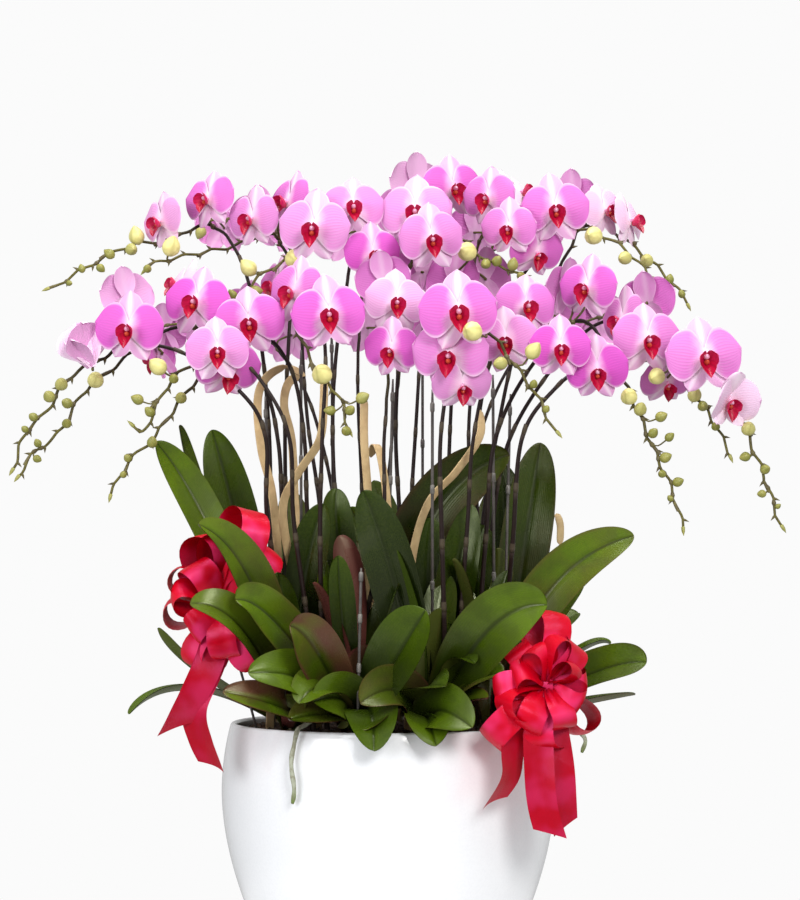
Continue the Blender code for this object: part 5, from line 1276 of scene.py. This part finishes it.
def materials(scene, *names):
    """The named materials, made on first use from the colours in the panel."""
    if "Mottle" not in bpy.data.node_groups:
        make_groups()
    for name in names:
        if f"{name}_surface" not in bpy.data.materials:
            make_material(name, scene.orchid_colours)
    return [bpy.data.materials[f"{name}_surface"] for name in names]


# Sizes and colours

def colour(name, description, red, green, blue):
    default = linear(red, green, blue)
    return FloatVectorProperty(
        name=name, description=description, default=default, size=3, min=0, max=1, subtype="COLOR"
    )


def length(name, description, default):
    return FloatProperty(name=name, description=description, default=default, min=0.0005, unit="LENGTH")


class OrchidSizes(PropertyGroup):
    """Sizes of the planting that can be changed."""

    flower_width: length("Flower width", "Width of an open flower of the usual size", 0.097)
    stem_width: length("Stem width", "Thickness of a flower spike at its foot", 0.0068)
    joint_gap: length("Joint spacing", "Distance between two joints of a flower spike", 0.075)
    stake_width: length("Stake width", "Thickness of a support stake", 0.0038)
    ribbon_width: length("Ribbon width", "Width of the satin ribbon", 0.036)
    cane_width: length("Cane width", "Width of a curled cane strip", 0.013)
    chip_size: length("Chip size", "Usual length of a piece of bark", 0.020)


class OrchidColours(PropertyGroup):
    """Colours of the planting that can be changed."""

    petal_deep: colour("Petals", "Deepest colour of the petals", 208, 84, 190)
    petal_pale: colour("Petal base", "Pale colour at a petal's claw and edge", 252, 236, 248)
    petal_vein: colour("Petal veins", "Colour of the fine veins", 232, 88, 200)
    lip_deep: colour("Lip", "Colour of the lip's middle lobe", 184, 8, 58)
    lip_light: colour("Lip sides", "Lighter colour of the lip", 208, 30, 96)
    bud: colour("Buds", "Colour of the large buds", 242, 234, 154)
    bud_green: colour("Young buds", "Colour of the smallest buds", 126, 128, 54)
    stem: colour("Stems", "Colour of the flower spikes", 36, 23, 20)
    stalk: colour("Stalks", "Colour of the flower stalks and spike ends", 104, 98, 44)
    # The leaves are mixed between Leaves and Pale leaves as painted light and shade: inner leaves towards the
    # first, outer leaves and tips towards the second.
    leaf: colour("Leaves", "Colour of the leaves", 17, 34, 0)
    leaf_light: colour("Pale leaves", "Colour of the lighter leaves", 92, 120, 12)
    leaf_dark: colour("Leaf shade", "Colour of the leaves' fine lines and dark patches", 18, 30, 2)
    leaf_purple: colour("Leaf blush", "Colour of the purple edges and undersides", 92, 40, 44)
    bark: colour("Bark", "Colour of the bark", 50, 34, 25)
    glaze: colour("Pot glaze", "Colour of the pot", 247, 249, 252)
    stake: colour("Stakes", "Colour of the support stakes", 84, 78, 74)
    cane: colour("Cane", "Colour of the curled strips", 232, 200, 148)
    ribbon: colour("Ribbon", "Colour of the satin ribbon", 206, 0, 28)
    # Ribbon gloss is the colour of a painted highlight, and Ribbon shade is also the painted shade on the
    # ribbon's back.
    ribbon_light: colour("Ribbon gloss", "Colour of the ribbon where it catches the light", 246, 64, 132)
    ribbon_deep: colour("Ribbon shade", "Colour of the ribbon's back and edges", 146, 0, 12)


# Operators

class ORCHIDS_OT_pot(Operator):
    """Turns the glazed pot with its foot ring, rounded rim and inner wall"""

    bl_idname = "orchids.pot"
    bl_label = "Pot"

    def execute(self, context):
        shape = Shape()
        profile = pot_profile()
        ring = np.array([heading(angle) for angle in round_turn(POT_SIDES)])
        shape.grid(profile[:, :1, None] * ring + profile[:, 1:, None] * UP, closed=True)
        shape.piece("glazed_pot", materials(context.scene, "white_glaze"), ("planter_pot",))
        return {"FINISHED"}


class ORCHIDS_OT_bark(Operator):
    """Finishes the bark filling and scatters loose chips over it"""

    bl_idname = "orchids.bark"
    bl_label = "Bark"

    def execute(self, context):
        finishes = materials(context.scene, "bark")
        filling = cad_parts["bark_filling"]
        filling.data.materials.clear()
        filling.data.materials.append(finishes[0])
        rng = np.random.default_rng(5)
        shape = Shape()
        size = context.scene.orchid_sizes.chip_size
        reach = RIM_RADIUS - POT_WALL - 0.006 - size * 0.6
        for _ in range(CHIP_COUNT):
            angle, radius = rng.uniform(0, 2 * math.pi), reach * math.sqrt(rng.uniform(0, 1))
            centre = heading(angle) * radius + UP * (BARK_TOP + rng.uniform(0, 0.005))
            add_chip(shape, centre, rng, size * rng.uniform(0.6, 1.1))
        shape.piece("bark_chips", finishes, (), sharp=30)
        return {"FINISHED"}


class ORCHIDS_OT_leaves(Operator):
    """Grows each plant's strap leaves, and the roots that hang over the rim"""

    bl_idname = "orchids.leaves"
    bl_label = "Leaves"

    def execute(self, context):
        finishes = materials(context.scene, "leaves", "roots")
        for number, (place, rows) in PLANTS.items():
            rng = np.random.default_rng(100 + number)
            shape = Shape()
            crown = on_bark(place) + UP * CROWN_HEIGHT
            outer = [(on_bark(row[0]), on_bark(row[1]), row[2] / 1000, *row[3:]) for row in rows]
            for middle, tip, width, face, purple in outer + inner_leaves(crown, rng):
                start = crown + unit((tip - crown) * LEVEL) * 0.004 - UP * 0.006
                add_leaf(shape, start, middle, tip, width, face, purple, rng)
            sheath = [(-0.030, 0.0), (-0.028, 0.008), (-0.012, 0.011), (0.004, 0.009), (0.010, 0.0)]
            shape.lathe(crown, UP, sheath, (0.2, 0.5, 0.5), 0, 14)
            for plant, azimuth, drop in ROOTS:
                if plant == number:
                    add_root(shape, crown, azimuth, drop, rng)
            shape.piece(f"orchid_plant_{number:02}", finishes, (f"orchid_leaves_{number:02}",))
        return {"FINISHED"}


class ORCHIDS_OT_spikes(Operator):
    """Grows the flower spikes with their stalks, open flowers and buds"""

    bl_idname = "orchids.spikes"
    bl_label = "Flower spikes"

    def execute(self, context):
        finishes = materials(context.scene, "petals", "lip", "stems", "buds")
        for number, spike in enumerate(SPIKES, 1):
            add_spike(number, context.scene.orchid_sizes, finishes, **spike)
        return {"FINISHED"}


class ORCHIDS_OT_stakes(Operator):
    """Sets the support stakes and the clips that hold the spikes to them"""

    bl_idname = "orchids.stakes"
    bl_label = "Stakes"

    def execute(self, context):
        shape = Shape()
        radius = context.scene.orchid_sizes.stake_width / 2
        clip = [(-0.006, 0.0), (-0.006, radius * 1.15), (-0.004, radius * 1.5), (0.004, radius * 1.5),
                (0.006, radius * 1.15), (0.006, 0.0)]
        for place, top in STAKES:
            foot, head = on_bark(place) - UP * 0.010, on_bark(top)
            path = smooth_path([foot, (foot + head) / 2, head], 0.02)
            radii = np.full(len(path), radius)
            radii[-1] = radius * 0.6
            shape.tube(path, radii, sides=10)
            for share in CLIP_SHARES:
                shape.lathe(foot + (head - foot) * share, unit(head - foot), clip, (1.0, 0, 0), 0, 12)
        nodes = [f"support_stake_{number:02}" for number in range(1, len(STAKES) + 1)]
        shape.piece("support_stakes", materials(context.scene, "stakes"), nodes)
        return {"FINISHED"}


class ORCHIDS_OT_strips(Operator):
    """Bends the curled cane strips"""

    bl_idname = "orchids.strips"
    bl_label = "Cane strips"

    def execute(self, context):
        finishes = materials(context.scene, "cane")
        for number, route in enumerate(STRIPS, 1):
            shape = Shape()
            path = smooth_path([on_bark(place) for place in route], 0.005)
            path[0] -= UP * 0.008
            add_band(shape, path, STRIP_ACROSS, context.scene.orchid_sizes.cane_width, CANE_THICKNESS)
            shape.piece(f"curled_cane_{number}", finishes, (f"cane_strip_{number}",))
        return {"FINISHED"}


class ORCHIDS_OT_bows(Operator):
    """Ties the satin bows: loops, knot, hanging ends and the pick that holds each one"""

    bl_idname = "orchids.bows"
    bl_label = "Ribbon bows"

    def execute(self, context):
        satin = materials(context.scene, "satin")
        width = context.scene.orchid_sizes.ribbon_width
        for side, (knot, foot, loops, tails) in BOWS.items():
            rng = np.random.default_rng(len(side))
            centre = on_bark(knot)
            node = (f"ribbon_bow_{side}",)
            shape = Shape()
            run = add_bow(shape, centre, loops, BOW_TWISTS[side], width, rng)
            bow = shape.piece(f"bow_loops_{side}", satin, node)
            for number, (route, (twist, slant)) in enumerate(zip(tails, TAIL_TURNS[side]), 1):
                shape = Shape()
                points = [centre, *(on_bark(place) for place in route)]
                run = add_tail(shape, points, twist, slant / 1000, width, rng)
                tail = shape.piece(f"bow_tail_{side}_{number}", satin, node)
            shape = Shape()
            turn = np.linspace(0, 2 * math.pi, 33)[:, None]
            ring = centre + (np.cos(turn) * UP + np.sin(turn) * FRONT) * KNOT_RADIUS
            across = np.linspace(-1, 1, 9)[None, :, None] * heading(0) * KNOT_WIDTH / 2
            # A little painted shade on the knot.
            shape.grid((ring[:, None] + across)[:, ::-1], (0.2, 0, 0))
            wrap = shape.piece(f"bow_knot_{side}", satin, node)
            shape = Shape()
            path = smooth_path([on_bark(foot) - UP * 0.01, (on_bark(foot) + centre) / 2, centre], 0.01)
            shape.tube(path, PICK_RADIUS)
            shape.piece(f"bow_pick_{side}", materials(context.scene, "stakes"), node)
        return {"FINISHED"}


class ORCHIDS_OT_stage(Operator):
    """Sets the pale floor, the soft lights and the camera"""

    bl_idname = "orchids.stage"
    bl_label = "Stage"

    def execute(self, context):
        scene = context.scene
        scene.view_settings.view_transform = "Standard"

        def stand(name, data):
            made = bpy.data.objects.new(name, data)
            scene.collection.objects.link(made)
            return made

        mesh = bpy.data.meshes.new("studio_floor")
        rim = [heading(angle) * FLOOR_RADIUS for angle in round_turn(64)]
        mesh.from_pydata(rim, [], [list(range(len(rim)))])
        mesh.materials.append(materials(scene, "studio_floor")[0])
        floor = stand("studio_floor", mesh)

        world = bpy.data.worlds.new("soft_studio")
        world.use_nodes = True
        scene.world = world
        nodes = Nodes(world.node_tree)
        seen = nodes.add("ShaderNodeLightPath")["Is Camera Ray"]
        level = nodes.add("ShaderNodeMapRange", {"Value": seen, "To Min": WORLD_LEVEL, "To Max": 1.0})[0]
        background = world.node_tree.nodes["Background"]
        nodes.put(background.inputs["Strength"], level)
        nodes.put(background.inputs["Color"], linear(251, 251, 251))

        for name, place, target, size, power, tint in LIGHTS:
            light = bpy.data.lights.new(name, "AREA")
            light.shape = "DISK"
            light.size = size
            light.energy = power
            light.color = tint
            lamp = stand(name, light)
            lamp.location = place
            lamp.rotation_euler = (Vector(target) - Vector(place)).to_track_quat("-Z", "Y").to_euler()

        lens = bpy.data.cameras.new("camera")
        lens.sensor_fit = "HORIZONTAL"
        lens.sensor_width = 36.0
        lens.lens = LENS
        camera = stand("camera", lens)
        camera.location = CAMERA_PLACE
        camera.rotation_euler = (math.radians(90 + CAMERA_PITCH), 0, 0)
        scene.camera = camera
        return {"FINISHED"}


class ORCHIDS_PT_panel(Panel):
    bl_idname = "ORCHIDS_PT_panel"
    bl_label = "Potted Orchids"
    bl_space_type = "VIEW_3D"
    bl_region_type = "UI"
    bl_category = "Orchids"

    def draw(self, context):
        for group in (context.scene.orchid_sizes, context.scene.orchid_colours):
            column = self.layout.column()
            for name in group.bl_rna.properties.keys():
                if name not in ("rna_type", "name"):
                    column.prop(group, name)
        for operator in OPERATORS:
            self.layout.operator(operator.bl_idname)


OPERATORS = (
    ORCHIDS_OT_pot, ORCHIDS_OT_bark, ORCHIDS_OT_leaves, ORCHIDS_OT_spikes, ORCHIDS_OT_stakes,
    ORCHIDS_OT_strips, ORCHIDS_OT_bows, ORCHIDS_OT_stage,
)
CLASSES = (OrchidSizes, OrchidColours, *OPERATORS, ORCHIDS_PT_panel)


def register():
    for cls in CLASSES:
        bpy.utils.register_class(cls)
    bpy.types.Scene.orchid_sizes = PointerProperty(type=OrchidSizes)
    bpy.types.Scene.orchid_colours = PointerProperty(type=OrchidColours)


def unregister():
    del bpy.types.Scene.orchid_colours
    del bpy.types.Scene.orchid_sizes
    for cls in reversed(CLASSES):
        bpy.utils.unregister_class(cls)


def main():
    register()
    for operator in OPERATORS:
        getattr(bpy.ops.orchids, operator.bl_idname.split(".")[1])()


if __name__ == "__main__":
    main()
